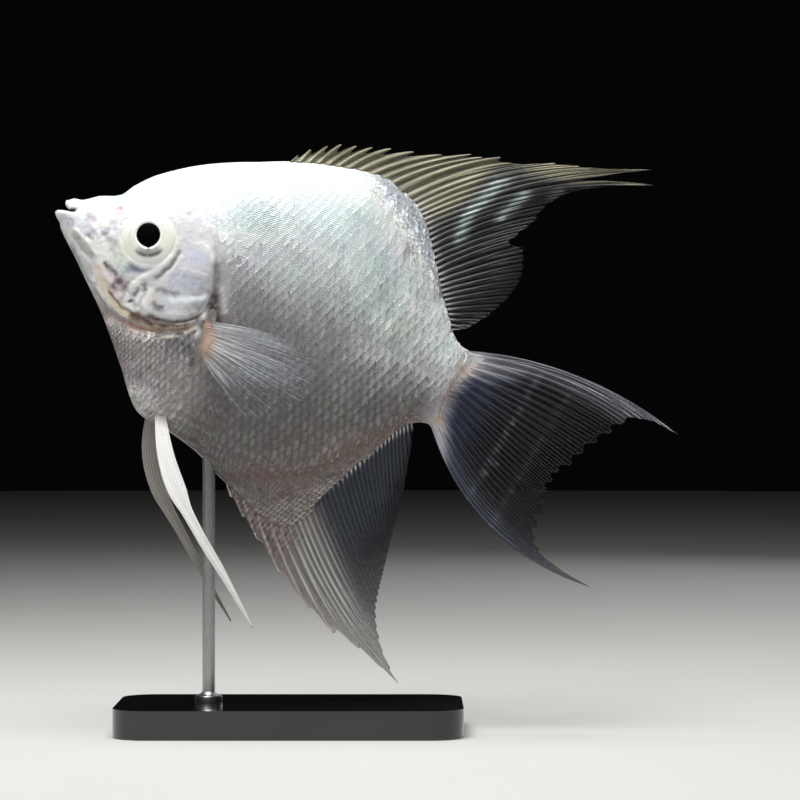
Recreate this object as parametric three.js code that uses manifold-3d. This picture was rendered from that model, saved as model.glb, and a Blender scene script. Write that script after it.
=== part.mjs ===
// A silver freshwater angelfish, as a still, life-size model on a plain display stand.
// Millimetres, +Z up, with the origin at the middle of the stand's underside.
// The fish is made in its own frame: x runs from the snout to the tail, y to the fish's right and
// z towards its back. A group then lifts it over the stand and turns it nose up.
import * as THREE from 'three';
import Module from 'manifold-3d';
import { mergeVertices } from 'three/addons/utils/BufferGeometryUtils.js';

const solidLibrary = await Module();
solidLibrary.setup();

// Driving dimensions.
const noseUp = THREE.MathUtils.degToRad(24);
const snoutPlace = new THREE.Vector3(-39.7, 0, 91);
const bodyStart = -0.2;
const bodyEnd = 76;
const gap = 0.3;
const mouthGap = 0.5;
const eye = { x: 15.5, z: 2, y: 4.15, radius: 5, depth: 2 };
const gillDepth = 3.2;
const rodAt = 41.5;
const rod = { radius: 1.1, collarRadius: 2.4, collarHeight: 1.8, collarEdge: 0.5 };
const base = { length: 60, width: 34, height: 5, corner: 6, chamfer: 0.6 };

// How finely the faceted solids are divided.
const bodyStations = 40;
const flankSteps = 11;
const circleSteps = 16;

// A smooth curve through pairs of position and value, level beyond its ends.
function through(pairs) {
  const last = pairs.length - 1;
  const slopeAt = (i) => {
    const [x0, v0] = pairs[Math.max(i - 1, 0)];
    const [x1, v1] = pairs[Math.min(i + 1, last)];
    return (v1 - v0) / (x1 - x0);
  };
  return (x) => {
    if (x <= pairs[0][0]) return pairs[0][1];
    if (x >= pairs[last][0]) return pairs[last][1];
    const i = pairs.findIndex((pair) => pair[0] > x) - 1;
    const [x0, v0] = pairs[i];
    const [x1, v1] = pairs[i + 1];
    const span = x1 - x0;
    const t = (x - x0) / span;
    const bend = span * (slopeAt(i) * t * (1 - t) ** 2 - slopeAt(i + 1) * t * t * (1 - t));
    return v0 + (v1 - v0) * t * t * (3 - 2 * t) + bend;
  };
}

// A line of straight pieces through pairs of position and value.
function straightThrough(pairs) {
  return (x) => {
    const after = pairs.findIndex((pair) => pair[0] >= x);
    if (after === 0) return pairs[0][1];
    const [x0, v0] = pairs[after - 1];
    const [x1, v1] = pairs[after];
    return v0 + ((v1 - v0) * (x - x0)) / (x1 - x0);
  };
}

// The body's outline from the side: its back, its belly and the level where it is widest.
const back = through([
  [-0.2, 1.5], [0.6, 2.3], [2.5, 2.8], [5, 4.5], [8.5, 6.3], [10, 8.7], [13, 12.1], [20, 17.2],
  [30, 22], [40, 25], [48, 25.6], [55, 21.5], [62, 16.2], [68, 10.9], [72, 6.9], [76, 6.2],
]);
const belly = through([
  [-0.2, -1.2], [0.6, -2.6], [2, -3.8], [8, -9], [14, -14.2], [20, -20.4], [26, -26.8],
  [32, -27.8], [38, -29.1], [44, -31], [50, -29.5], [57, -25.5], [63, -18.5], [70, -9], [76, -8.9],
]);
const widestLevel = through([
  [-0.2, 0.2], [6, -1.2], [15, 0.5], [28, 1.5], [45, 0.5], [60, -0.5], [76, -1.3],
]);

// Half the body's thickness at its widest, and at the ridge of the back and the keel of the belly,
// and how sharply a cross-section narrows towards them.
const halfThickness = through([
  [-0.2, 0.7], [1, 1.3], [3, 2], [6, 2.9], [10, 4.1], [15, 5.2], [21, 5.8], [28, 5.9], [38, 5.4],
  [48, 4.6], [58, 3.6], [66, 2.6], [72, 1.9], [76, 1.5],
]);
const ridge = through([[0, 0.25], [10, 0.4], [30, 0.7], [50, 1.2], [62, 1.3], [70, 1.1], [76, 0.6]]);
const keel = through([[0, 0.25], [14, 0.5], [26, 0.8], [44, 1], [55, 1.3], [68, 1.2], [76, 0.6]]);
const narrowing = through([[0, 0.9], [8, 1], [15, 1.1], [30, 1.25], [50, 1.3], [68, 1.2], [76, 1.1]]);

// The upper lip sits a little behind the lower one.
const lipSlant = through([[0, 0.5], [6, 0]]);

// A point of the body's surface on the fish's right flank, turned down from the back by angle,
// with the surface moved outward by grown.
function flankPoint(x, angle, grown) {
  const up = Math.cos(angle);
  const level = widestLevel(x);
  const reach = up > 0 ? back(x) + grown - level : level - belly(x) + grown;
  const rim = (up > 0 ? ridge(x) : keel(x)) * up ** 4;
  const y = (halfThickness(x) + grown) * Math.max(Math.sin(angle), 0) ** narrowing(x) + rim;
  return new THREE.Vector3(x + lipSlant(x) * up, y, level + reach * up);
}

// A closed mesh through rings of equally many points, with a point at the middle of each end.
function loftRings(rings) {
  const positions = [];
  const faces = [];
  const around = rings[0].length;
  const middle = (ring) => ring.reduce((sum, p) => sum.add(p), new THREE.Vector3()).divideScalar(around);
  rings.forEach((ring) => ring.forEach((p) => positions.push(p.x, p.y, p.z)));
  for (const ring of [rings[0], rings[rings.length - 1]]) positions.push(...middle(ring).toArray());
  const startPole = rings.length * around;
  const endPole = startPole + 1;
  for (let i = 0; i < around; i += 1) {
    const next = (i + 1) % around;
    faces.push(startPole, i, next);
    faces.push(endPole, startPole - around + next, startPole - around + i);
    for (let r = 0; r < rings.length - 1; r += 1) {
      const here = r * around;
      const there = here + around;
      faces.push(here + i, there + i, here + next, here + next, there + i, there + next);
    }
  }
  return surface(positions, faces);
}

function surface(positions, faces) {
  const geometry = new THREE.BufferGeometry();
  geometry.setAttribute('position', new THREE.Float32BufferAttribute(positions, 3));
  geometry.setIndex(faces);
  return geometry;
}

// The whole body from lips to tail root, with its surface moved outward by grown.
function bodyGeometry(grown) {
  const rings = [];
  for (let i = 0; i <= bodyStations; i += 1) {
    const t = i / bodyStations;
    const x = bodyStart - grown + (bodyEnd - bodyStart + 2 * grown) * t * (1 + t) / 2;
    const right = [];
    for (let k = 0; k <= flankSteps; k += 1) {
      right.push(flankPoint(x, (Math.PI * k) / flankSteps, grown));
    }
    const left = right.map((p) => new THREE.Vector3(p.x, -p.y, p.z)).reverse();
    rings.push([...right, ...left]);
  }
  return loftRings(rings);
}

// Changes between a closed geometry and a solid that can be joined and cut.
function solid(geometry) {
  const bare = geometry.clone();
  for (const name of Object.keys(bare.attributes)) {
    if (name !== 'position') bare.deleteAttribute(name);
  }
  const merged = mergeVertices(bare, 1e-4);
  const { Manifold, Mesh } = solidLibrary;
  return new Manifold(
    new Mesh({
      numProp: 3,
      vertProperties: new Float32Array(merged.attributes.position.array),
      triVerts: new Uint32Array(merged.index.array),
    }),
  );
}

function geometryOf(shape) {
  const { numProp, vertProperties, triVerts } = shape.getMesh();
  const positions = [];
  for (let i = 0; i < vertProperties.length; i += numProp) {
    positions.push(...vertProperties.subarray(i, i + 3));
  }
  const geometry = surface(positions, Array.from(triVerts));
  geometry.computeVertexNormals();
  return geometry;
}

// A prism with its outline in the x-z plane, between two values of y.
function sidePrism(outline, low, high) {
  const shape = new THREE.Shape(outline.map(([x, z]) => new THREE.Vector2(x, z)));
  const prism = new THREE.ExtrudeGeometry(shape, { depth: high - low, bevelEnabled: false });
  return solid(prism.rotateX(Math.PI / 2).translate(0, high, 0));
}

// The outline of a narrow cut along a line in the x-z plane.
function cutOutline(line, width) {
  const points = line.map(([x, z]) => new THREE.Vector2(x, z));
  const sides = [[], []];
  points.forEach((point, i) => {
    const before = points[Math.max(i - 1, 0)];
    const after = points[Math.min(i + 1, points.length - 1)];
    const along = after.clone().sub(before).normalize();
    const across = new THREE.Vector2(-along.y, along.x).multiplyScalar(width / 2);
    sides[0].push(point.clone().add(across).toArray());
    sides[1].unshift(point.clone().sub(across).toArray());
  });
  return [...sides[0], ...sides[1]];
}

const beyond = 20; // past the body's surface on either side

function throughCut(line, width = gap) {
  return sidePrism(cutOutline(line, width), -beyond, beyond);
}

// The borders where the body is parted, each a line in the x-z plane.
const mouthLine = [[-5, 0.05], [2.2, 0.45]];
const upperJawEnd = 10.2;
const jawLine = [
  [2.2, 0.45], [4.1, -4], [8.2, -6.9], [upperJawEnd, -8.2], [10.8, -10.2], [10.6, -14],
];
const upperJawLine = [[2.7, 5], [3, 1], [5, -2], [9.9, -5.3], [upperJawEnd, -8.2]];
const headLine = [
  [22, 30], [24.6, 17], [26.8, 6], [28.9, 2.8], [29.3, 0.2], [30.2, -2.6], [30.2, -5.6], [29.3, -8.6],
  [27.2, -11.2], [24, -12.9], [20, -13.8], [16.5, -14.2], [14, -16], [13, -19],
];
const gillLine = [
  [33, 4.9], [23.4, 4.9], [21.8, 3.2], [21.3, 0.2], [20.2, -2.3], [18.6, -5], [17.3, -7.4],
  [17.4, -9.7], [19.2, -11.1], [22, -11.3], [25.2, -10.5], [27.9, -8.4], [33, -7],
];
const tailLine = [[71.2, 14], [71.4, -14]];

function eyeGeometry(side, grown) {
  const ball = new THREE.SphereGeometry(1, circleSteps, circleSteps / 2).rotateX(Math.PI / 2);
  ball.scale(eye.radius + grown, eye.depth + grown, eye.radius + grown);
  return ball.translate(eye.x, side * eye.y, eye.z);
}

// The pieces of the body, parted by thin cuts.
function bodyPieces() {
  const whole = solid(bodyGeometry(0));
  const ahead = -5; // a position before the snout
  const [[, headTop], [, headFoot], [, jawTop], [, jawFoot]] = [
    headLine[0], headLine[headLine.length - 1], upperJawLine[0], jawLine[jawLine.length - 1],
  ];
  const jawRear = jawLine.slice(jawLine.findIndex(([x]) => x === upperJawEnd) + 1);
  const region = (outline) => sidePrism(outline, -beyond, beyond);
  const headRegion = region([[ahead, headTop], ...headLine, [ahead, headFoot]]);
  const jawRegion = region([...mouthLine, ...jawLine.slice(1), [ahead, jawFoot]]);
  const mouthRegion = region([[ahead, jawTop], ...upperJawLine, ...jawRear, [ahead, jawFoot]]);
  const tailRegion = region([...tailLine, ...tailLine.map(([x, z]) => [x + beyond, z]).reverse()]);
  const headCut = throughCut(headLine);
  const tailCut = throughCut(tailLine);
  const jawCuts = throughCut(upperJawLine).add(throughCut(jawLine));
  const mouthCuts = jawCuts.add(throughCut(mouthLine, mouthGap));
  const allOfHead = whole.intersect(headRegion).subtract(headCut);
  const mouth = allOfHead.intersect(mouthRegion).subtract(mouthCuts);
  let head = allOfHead.subtract(mouthRegion).subtract(mouthCuts);
  const pieces = {
    upper_jaw: mouth.subtract(jawRegion),
    lower_jaw: mouth.intersect(jawRegion),
    trunk: whole.subtract(headRegion).subtract(headCut).subtract(tailRegion).subtract(tailCut),
    tail_base: whole.intersect(tailRegion).subtract(tailCut),
  };
  for (const [name, side] of [['left', -1], ['right', 1]]) {
    const between = (near, far) => (side < 0 ? [-far, -near] : [near, far]);
    const rim = sidePrism(cutOutline(gillLine, gap), ...between(gillDepth - gap, beyond));
    const cover = sidePrism(gillLine, ...between(gillDepth, beyond));
    const bed = sidePrism(gillLine, ...between(gillDepth - gap, beyond));
    pieces[`gill_cover_${name}`] = head.intersect(cover).subtract(rim);
    head = head.subtract(bed).subtract(rim).subtract(solid(eyeGeometry(side, gap)));
  }
  return { head, ...pieces };
}

// A thin closed plate over a net of points: columns run from the root of a fin to its edge, and
// each point carries half the thickness there, laid on either side along y. Each face of the net
// is parted along its shorter diagonal.
function plateGeometry(net) {
  const rows = net[0].length;
  const [root, edge] = [net[0][0], net[0][rows - 1]];
  const lastRoot = net[net.length - 1][0];
  const turn = (lastRoot.x - root.x) * (edge.z - root.z) - (lastRoot.z - root.z) * (edge.x - root.x);
  const columns = turn > 0 ? net : [...net].reverse();
  const positions = [];
  for (const side of [-1, 1]) {
    for (const { x, y, z, half } of columns.flat()) positions.push(x, y + side * half, z);
  }
  const at = (side, c, r) => (side * columns.length + c) * rows + r;
  const faces = [];
  const point = (i) => new THREE.Vector3().fromArray(positions, 3 * i);
  const apart = (i, j) => point(i).distanceTo(point(j));
  const quad = (a, b, c, d) => {
    if (apart(a, c) < apart(b, d)) faces.push(a, c, b, a, d, c);
    else faces.push(a, d, b, b, d, c);
  };
  for (let c = 0; c < columns.length - 1; c += 1) {
    for (let r = 0; r < rows - 1; r += 1) {
      quad(at(0, c, r), at(0, c, r + 1), at(0, c + 1, r + 1), at(0, c + 1, r));
      quad(at(1, c, r), at(1, c + 1, r), at(1, c + 1, r + 1), at(1, c, r + 1));
    }
    quad(at(0, c, 0), at(0, c + 1, 0), at(1, c + 1, 0), at(1, c, 0));
    quad(at(0, c, rows - 1), at(1, c, rows - 1), at(1, c + 1, rows - 1), at(0, c + 1, rows - 1));
  }
  const end = columns.length - 1;
  for (let r = 0; r < rows - 1; r += 1) {
    quad(at(0, 0, r), at(1, 0, r), at(1, 0, r + 1), at(0, 0, r + 1));
    quad(at(0, end, r), at(0, end, r + 1), at(1, end, r + 1), at(1, end, r));
  }
  return surface(positions, faces);
}

const rayHalf = 0.42;
const webHalf = 0.26;

// A point of a fin's ray, from its root at 0 to its tip at 1. The fin says for a ray number where
// the root and tip are, and how far the ray bows to its front side.
function rayPoint(fin, number, t) {
  const root = fin.root(number);
  const along = fin.tip(number).sub(root);
  const bow = (fin.bow(number) * 4 * t * (1 - t)) / Math.hypot(along.x, along.z);
  return root.add(new THREE.Vector3(-along.z * bow, 0, along.x * bow)).addScaledVector(along, t);
}

// The columns of a fin's net, one for each ray and, up to its last spine and where it is notched,
// one for the web between two rays, which falls short of their tips by its dip. The first step of
// a column is the scaled sheath at the root of the fin.
function finColumns(fin) {
  const columns = [];
  for (let n = 0; n <= 2 * (fin.rays - 1); n += 1) {
    const number = n / 2;
    const isWeb = n % 2 === 1;
    if (isWeb && number > fin.spines && number !== fin.notch) continue;
    const length = fin.tip(number).distanceTo(fin.root(number));
    const sheath = Math.min(fin.sheath(number) / length, 0.5);
    const column = [];
    for (let r = 0; r <= fin.rows; r += 1) {
      const t = r === 0 ? 0 : sheath + ((1 - sheath) * (r - 1)) / (fin.rows - 1);
      const reach = t * (1 - fin.dip(number));
      const place = isWeb
        ? rayPoint(fin, number - 0.5, reach).lerp(rayPoint(fin, number + 0.5, reach), 0.5)
        : rayPoint(fin, number, t);
      const thin = isWeb ? webHalf : rayHalf - (rayHalf - webHalf) * t * t;
      column.push({ ...place, half: r === 0 ? fin.rootHalf(number) : thin });
    }
    columns.push(column);
  }
  return columns;
}

const rootGap = 0.45; // from the smooth outline of the body to the root of a fin on its edge

// Dorsal fin: 12 spines, then 27 soft rays that carry two trailing filaments.
const dorsalRootX = through([[0, 32.8], [6, 42], [12, 52], [17, 55.8], [27, 63.5], [38, 70.4]]);
const dorsalTipX = straightThrough([
  [0, 33.7], [1, 35.3], [2, 37.8], [3, 39.8], [5, 45], [6, 48], [7, 51.8], [8, 56.5], [9, 61.2],
  [10, 63.2], [11, 66], [12, 69.3], [13, 75], [15, 83], [17, 91], [18, 92.5], [19, 85.4],
  [20, 80.2], [21, 78], [22, 76.6], [23, 76.3], [26, 73.4], [27, 76.4], [29, 77.6], [31, 78],
  [33, 77.3], [35, 75.4], [37, 73], [38, 71.4],
]);
const dorsalTipZ = straightThrough([
  [0, 25], [1, 26.8], [2, 28.6], [3, 29.8], [5, 31.5], [6, 32.7], [7, 33.8], [8, 35.3], [9, 37.5],
  [10, 37.8], [11, 39.1], [12, 39.2], [13, 42], [15, 44.4], [17, 47.8], [18, 45.5], [19, 42.3],
  [20, 38.9], [21, 36.6], [22, 34], [23, 31.8], [26, 26], [27, 26.3], [29, 23.4], [31, 20.6],
  [33, 17.2], [35, 13], [37, 9.6], [38, 8.5],
]);
const dorsalFin = {
  spines: 12,
  rays: 39,
  rows: 5,
  notch: 17.5,
  root: (n) => new THREE.Vector3(dorsalRootX(n), 0, back(dorsalRootX(n)) + rootGap),
  tip: (n) => new THREE.Vector3(dorsalTipX(n), 0, dorsalTipZ(n)),
  bow: straightThrough([
    [0, 0], [9, 0.8], [12, 1.4], [14, 2.2], [17, 2.4], [18, 3], [19, 1.8], [20, 1.2], [26, 0.4],
    [38, 0],
  ]),
  sheath: through([[0, 0.8], [8, 1.6], [14, 3.6], [26, 3.8], [38, 0.6]]),
  rootHalf: (n) => ridge(dorsalRootX(n)),
  dip: straightThrough([[0, 0.4], [7, 0.3], [9, 0.06], [17, 0.02], [17.5, 0.3], [38, 0.3]]),
};

// Anal fin: 6 spines, then 30 soft rays that end in one trailing point.
const analRootX = through([[0, 44.4], [3, 49], [6, 53], [12, 57.6], [24, 65], [35, 70.2]]);
const analTipX = straightThrough([
  [0, 47], [1, 50.5], [2, 54.3], [3, 60], [4, 67], [5, 73], [6, 78], [7, 83], [8, 87.2], [9, 84.4],
  [10, 82], [12, 79.6], [14, 78.2], [17, 77.4], [24, 76.4], [28, 75.6], [32, 74.2], [34, 72.6],
  [35, 71.2],
]);
const analTipZ = straightThrough([
  [0, -33.8], [1, -36.2], [2, -38.7], [3, -42.3], [4, -46], [5, -48.3], [6, -48.9], [7, -50.4],
  [8, -51.8], [9, -49.6], [10, -47.4], [12, -44.2], [14, -41.4], [17, -38], [24, -32.6],
  [28, -28.4], [32, -20.5], [34, -14], [35, -9.6],
]);
const analFin = {
  spines: 6,
  rays: 36,
  rows: 5,
  root: (n) => new THREE.Vector3(analRootX(n), 0, belly(analRootX(n)) - rootGap),
  tip: (n) => new THREE.Vector3(analTipX(n), 0, analTipZ(n)),
  bow: straightThrough([[0, 0], [4, -0.8], [7, -2.2], [8, -2.6], [11, -1.2], [20, -0.4], [35, 0]]),
  sheath: through([[0, 1], [6, 6], [12, 6.4], [24, 2.4], [35, 0.6]]),
  rootHalf: (n) => keel(analRootX(n)),
  dip: straightThrough([[0, 0.3], [4, 0.05], [35, 0.03]]),
};

// Tail fin: 17 branched rays between two trailing points.
const tailTipX = straightThrough([
  [0, 114], [1, 107.5], [2, 104.3], [3, 103.2], [4, 101.4], [5, 100], [6, 99], [7, 97.4], [9, 97],
  [11, 98], [12, 98], [13, 98.6], [14, 100.2], [15, 102], [16, 111],
]);
const tailTipZ = straightThrough([
  [0, 7.6], [1, 7.7], [2, 5.4], [3, 3.2], [4, 0.6], [5, -2], [6, -4.8], [7, -6.8], [9, -10.6],
  [11, -14.6], [12, -17], [13, -19.2], [14, -20.6], [15, -21.6], [16, -22.9],
]);
const tailRays = 17;
const tailRootTop = 6;
const tailRayApart = 14.6 / (tailRays - 1);
const tailFin = {
  spines: 0,
  rays: tailRays,
  rows: 7,
  root: (n) => new THREE.Vector3(bodyEnd + gap, 0, tailRootTop - tailRayApart * n),
  tip: (n) => new THREE.Vector3(tailTipX(n), 0, tailTipZ(n)),
  bow: straightThrough([
    [0, 3.2], [2, 1.9], [4, 0.7], [7, 0], [12, -1.4], [14, -2.4], [15, -3.1], [16, -5.2],
  ]),
  sheath: () => 3,
  rootHalf: () => 1,
  dip: () => 0.02,
};

// A pectoral fin: a fan of 12 rays that stands off the flank by degrees.
const fanTipX = straightThrough([
  [0, 45.2], [2, 50], [4, 52.5], [6, 53], [8, 51], [10, 47.6], [11, 43.8],
]);
const fanTipZ = straightThrough([
  [0, -5], [2, -6.2], [4, -9], [6, -12], [8, -15.6], [10, -18.8], [11, -20.4],
]);
const fanRays = 12;
const fanRoot = { x: 31, y: 4.9, z: -8, length: 2.2, height: 5.6 };
const fanSpread = Math.tan(THREE.MathUtils.degToRad(13));

function pectoralFin(side) {
  const rootX = (n) => fanRoot.x + (fanRoot.length * n) / (fanRays - 1);
  const rootZ = (n) => fanRoot.z - (fanRoot.height * n) / (fanRays - 1);
  const standOff = (n) => fanRoot.y + (fanTipX(n) - rootX(n)) * fanSpread;
  return {
    spines: 0,
    rays: fanRays,
    rows: 4,
    root: (n) => new THREE.Vector3(rootX(n), side * fanRoot.y, rootZ(n)),
    tip: (n) => new THREE.Vector3(fanTipX(n), side * standOff(n), fanTipZ(n)),
    bow: straightThrough([[0, 0.6], [5, 0.2], [11, -0.4]]),
    sheath: () => 2.6,
    rootHalf: () => 0.8,
    dip: () => 0.03,
  };
}

// A pelvic fin: a long tapered blade about a middle line, with a stiff leading edge.
const pelvicRows = 12;
const pelvicColumns = [-1, -0.3, 0.3, 1]; // from its leading edge to its trailing one
const pelvicHalf = { leading: { root: 0.55, tip: 0.3 }, trailing: { root: 0.4, tip: 0.26 } };

function pelvicGeometry({ middle, halfWidth }) {
  const line = new THREE.CatmullRomCurve3(middle.map(([x, y, z]) => new THREE.Vector3(x, y, z)));
  const columns = pelvicColumns.map((place) => {
    const { root, tip } = place < 0 ? pelvicHalf.leading : pelvicHalf.trailing;
    const column = [];
    for (let r = 0; r <= pelvicRows; r += 1) {
      const t = r / pelvicRows;
      const at = line.getPoint(t);
      const along = line.getTangent(t);
      const wide = place * halfWidth(t);
      const half = root + (tip - root) * t;
      column.push({ x: at.x + along.z * wide, y: at.y, z: at.z - along.x * wide, half });
    }
    return column;
  });
  return plateGeometry(columns);
}

const pelvicLeft = {
  middle: [
    [29.4, -1.6, -25.6], [33.6, -3, -31], [38.6, -4.2, -36.6], [45, -4.6, -41.8],
    [52, -4.2, -46.8], [60, -3.6, -52.9],
  ],
  halfWidth: through([[0, 1.4], [0.25, 1.55], [0.4, 1.6], [0.5, 1], [0.75, 0.75], [1, 0.12]]),
};
const pelvicRight = {
  middle: [
    [28.4, 1.6, -26], [30.6, 3.2, -32], [35.2, 4.4, -38.2], [42, 4.8, -43.6],
    [50, 4.4, -49.7], [56, 3.8, -54],
  ],
  halfWidth: through([[0, 1.1], [0.25, 1.4], [0.4, 1.4], [0.5, 1], [0.75, 0.6], [1, 0.12]]),
};

// The stand: a flat base with rounded corners, and one rod with a collar at its foot.
function standBaseGeometry() {
  const { length, width, height, corner, chamfer } = base;
  const right = length / 2 - chamfer;
  const far = width / 2 - chamfer;
  const shape = new THREE.Shape();
  shape.moveTo(right, -far + corner);
  shape.absarc(right - corner, far - corner, corner, 0, Math.PI / 2);
  shape.absarc(-right + corner, far - corner, corner, Math.PI / 2, Math.PI);
  shape.absarc(-right + corner, -far + corner, corner, Math.PI, 1.5 * Math.PI);
  shape.absarc(right - corner, -far + corner, corner, 1.5 * Math.PI, 2 * Math.PI);
  const plate = new THREE.ExtrudeGeometry(shape, {
    depth: height - 2 * chamfer,
    curveSegments: 6,
    bevelThickness: chamfer,
    bevelSize: chamfer,
    bevelSegments: 1,
  });
  return plate.translate(0, 0, chamfer);
}

function standRodGeometry(top) {
  const { radius, collarRadius, collarHeight, collarEdge } = rod;
  const profile = [
    [0, base.height], [collarRadius, base.height],
    [collarRadius, base.height + collarHeight - collarEdge],
    [radius, base.height + collarHeight], [radius, top], [0, top],
  ];
  const turned = new THREE.LatheGeometry(profile.map(([r, z]) => new THREE.Vector2(r, z)), circleSteps);
  return turned.rotateX(Math.PI / 2);
}

// Where a point of the fish's middle plane comes to lie over the stand.
function placed(x, z) {
  return new THREE.Vector3(x, 0, z).applyAxisAngle(new THREE.Vector3(0, 1, 0), noseUp).add(snoutPlace);
}

const finishes = {
  scales: { color: 0xd9dcdb, roughness: 0.38, metalness: 0.3 },
  gill_plate: { color: 0xcfd2dc, roughness: 0.3, metalness: 0.3 },
  eye: { color: 0x15130f, roughness: 0.1, metalness: 0 },
  fin_web: { color: 0x5a6068, roughness: 0.5, metalness: 0 },
  stand_base: { color: 0x1d1c1b, roughness: 0.45, metalness: 0 },
  stand_rod: { color: 0x9a9c9e, roughness: 0.3, metalness: 1 },
};

function piece(name, geometry, finish) {
  const mesh = new THREE.Mesh(geometry, new THREE.MeshStandardMaterial(finishes[finish]));
  mesh.name = name;
  return mesh;
}

const fish = new THREE.Group();
fish.rotation.y = noseUp;
fish.position.copy(snoutPlace);
fish.updateMatrix();

for (const [name, shape] of Object.entries(bodyPieces())) {
  const finish = name.startsWith('gill_cover') ? 'gill_plate' : 'scales';
  fish.add(piece(name, geometryOf(shape), finish));
}

const clearance = bodyGeometry(gap);
const clearanceSolid = solid(clearance);
const medianFins = { dorsal_fin: dorsalFin, anal_fin: analFin, tail_fin: tailFin };
for (const [name, fin] of Object.entries(medianFins)) {
  fish.add(piece(name, plateGeometry(finColumns(fin)), 'fin_web'));
}
const sideFins = {
  pectoral_fin_left: plateGeometry(finColumns(pectoralFin(-1))),
  pectoral_fin_right: plateGeometry(finColumns(pectoralFin(1))),
  pelvic_fin_left: pelvicGeometry(pelvicLeft),
  pelvic_fin_right: pelvicGeometry(pelvicRight),
};
for (const [name, geometry] of Object.entries(sideFins)) {
  fish.add(piece(name, geometryOf(solid(geometry).subtract(clearanceSolid)), 'fin_web'));
}

fish.add(piece('eye_left', eyeGeometry(-1, 0), 'eye'));
fish.add(piece('eye_right', eyeGeometry(1, 0), 'eye'));

const rodFoot = placed(rodAt, belly(rodAt));
const fullRod = solid(standRodGeometry(rodFoot.z + beyond)).translate([rodFoot.x, 0, 0]);
const placedClearance = solid(clearance.clone().applyMatrix4(fish.matrix));

const angelfish = new THREE.Group();
angelfish.add(fish);
angelfish.add(piece('stand_base', standBaseGeometry(), 'stand_base'));
angelfish.add(piece('stand_rod', geometryOf(fullRod.subtract(placedClearance)), 'stand_rod'));

export default angelfish;
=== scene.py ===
"""Looks for a life-size freshwater angelfish on a display stand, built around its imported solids.

Shapes are worked out in the fish's own frame, in millimetres: x from the snout to the tail, y to
the fish's right and z towards its back. row() turns them into the model's frame, in metres.
"""

import math

import bmesh
import bpy
import numpy as np
from bpy.props import FloatProperty, FloatVectorProperty, IntProperty, PointerProperty
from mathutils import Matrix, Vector


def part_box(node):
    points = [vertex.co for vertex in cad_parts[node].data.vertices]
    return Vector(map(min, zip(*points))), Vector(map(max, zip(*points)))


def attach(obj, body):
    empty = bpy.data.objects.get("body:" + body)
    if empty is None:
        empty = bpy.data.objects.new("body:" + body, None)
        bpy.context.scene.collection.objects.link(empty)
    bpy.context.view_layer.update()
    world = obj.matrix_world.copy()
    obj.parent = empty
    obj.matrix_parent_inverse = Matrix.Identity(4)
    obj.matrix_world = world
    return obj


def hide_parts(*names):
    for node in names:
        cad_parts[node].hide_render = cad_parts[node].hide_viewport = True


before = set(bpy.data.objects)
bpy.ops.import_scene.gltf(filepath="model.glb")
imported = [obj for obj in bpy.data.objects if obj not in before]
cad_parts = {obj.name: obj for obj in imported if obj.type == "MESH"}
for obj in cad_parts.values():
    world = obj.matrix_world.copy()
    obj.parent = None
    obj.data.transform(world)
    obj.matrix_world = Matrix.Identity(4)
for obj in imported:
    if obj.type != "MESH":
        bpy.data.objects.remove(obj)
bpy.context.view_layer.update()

bl_info = {
    "name": "Angelfish on a Stand",
    "version": (1, 0, 0),
    "blender": (4, 5, 0),
    "location": "View3D > Sidebar > Angelfish",
    "description": "Builds the skin, scales, eyes, fins, stand and stage of a display angelfish",
    "category": "Object",
}

MM = 0.001
NOSE_UP = math.radians(24)
TURN_COS, TURN_SIN = math.cos(NOSE_UP), math.sin(NOSE_UP)
EYE_IN_FISH = (15.5, 2.0)
EYE_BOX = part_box("eye_left")
SNOUT_X = (EYE_BOX[0].x + EYE_BOX[1].x) / 2 - MM * (
    EYE_IN_FISH[0] * TURN_COS + EYE_IN_FISH[1] * TURN_SIN
)
SNOUT_Z = (EYE_BOX[0].z + EYE_BOX[1].z) / 2 - MM * (
    EYE_IN_FISH[1] * TURN_COS - EYE_IN_FISH[0] * TURN_SIN
)
SIDES = {"left": -1, "right": 1}


# ------------------------ curves and fields

def row(points):
    """Points of the fish's frame, in millimetres, as points of the model's frame, in metres."""
    x, y, z = np.moveaxis(np.asarray(points, float), -1, 0)
    return np.stack([
        (x * TURN_COS + z * TURN_SIN) * MM + SNOUT_X,
        y * MM,
        (z * TURN_COS - x * TURN_SIN) * MM + SNOUT_Z,
    ], -1)


def turned(directions):
    """Directions of the fish's frame as directions of the model's frame."""
    x, y, z = np.moveaxis(np.asarray(directions, float), -1, 0)
    return np.stack([x * TURN_COS + z * TURN_SIN, y, z * TURN_COS - x * TURN_SIN], -1)


def through(*pairs):
    """A smooth curve through pairs of position and value, level beyond its ends."""
    x, v = np.array(pairs, float).T
    slope = np.empty_like(v)
    slope[1:-1] = (v[2:] - v[:-2]) / (x[2:] - x[:-2])
    slope[0] = (v[1] - v[0]) / (x[1] - x[0])
    slope[-1] = (v[-1] - v[-2]) / (x[-1] - x[-2])

    def value(at):
        at = np.clip(at, x[0], x[-1])
        i = np.clip(np.searchsorted(x, at, side="right") - 1, 0, len(x) - 2)
        span = x[i + 1] - x[i]
        t = (at - x[i]) / span
        bend = span * (slope[i] * t * (1 - t) ** 2 - slope[i + 1] * t * t * (1 - t))
        return v[i] + (v[i + 1] - v[i]) * t * t * (3 - 2 * t) + bend

    return value


def straight(*pairs):
    """A line of straight pieces through pairs of position and value."""
    x, v = np.array(pairs, float).T
    return lambda at: np.interp(at, x, v)


def step(value, low, high):
    """Rises smoothly from 0 at low to 1 at high."""
    t = np.clip((value - low) / (high - low), 0, 1)
    return t * t * (3 - 2 * t)


def mix(a, b, share):
    """From a to b by share."""
    return a + (b - a) * share


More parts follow.
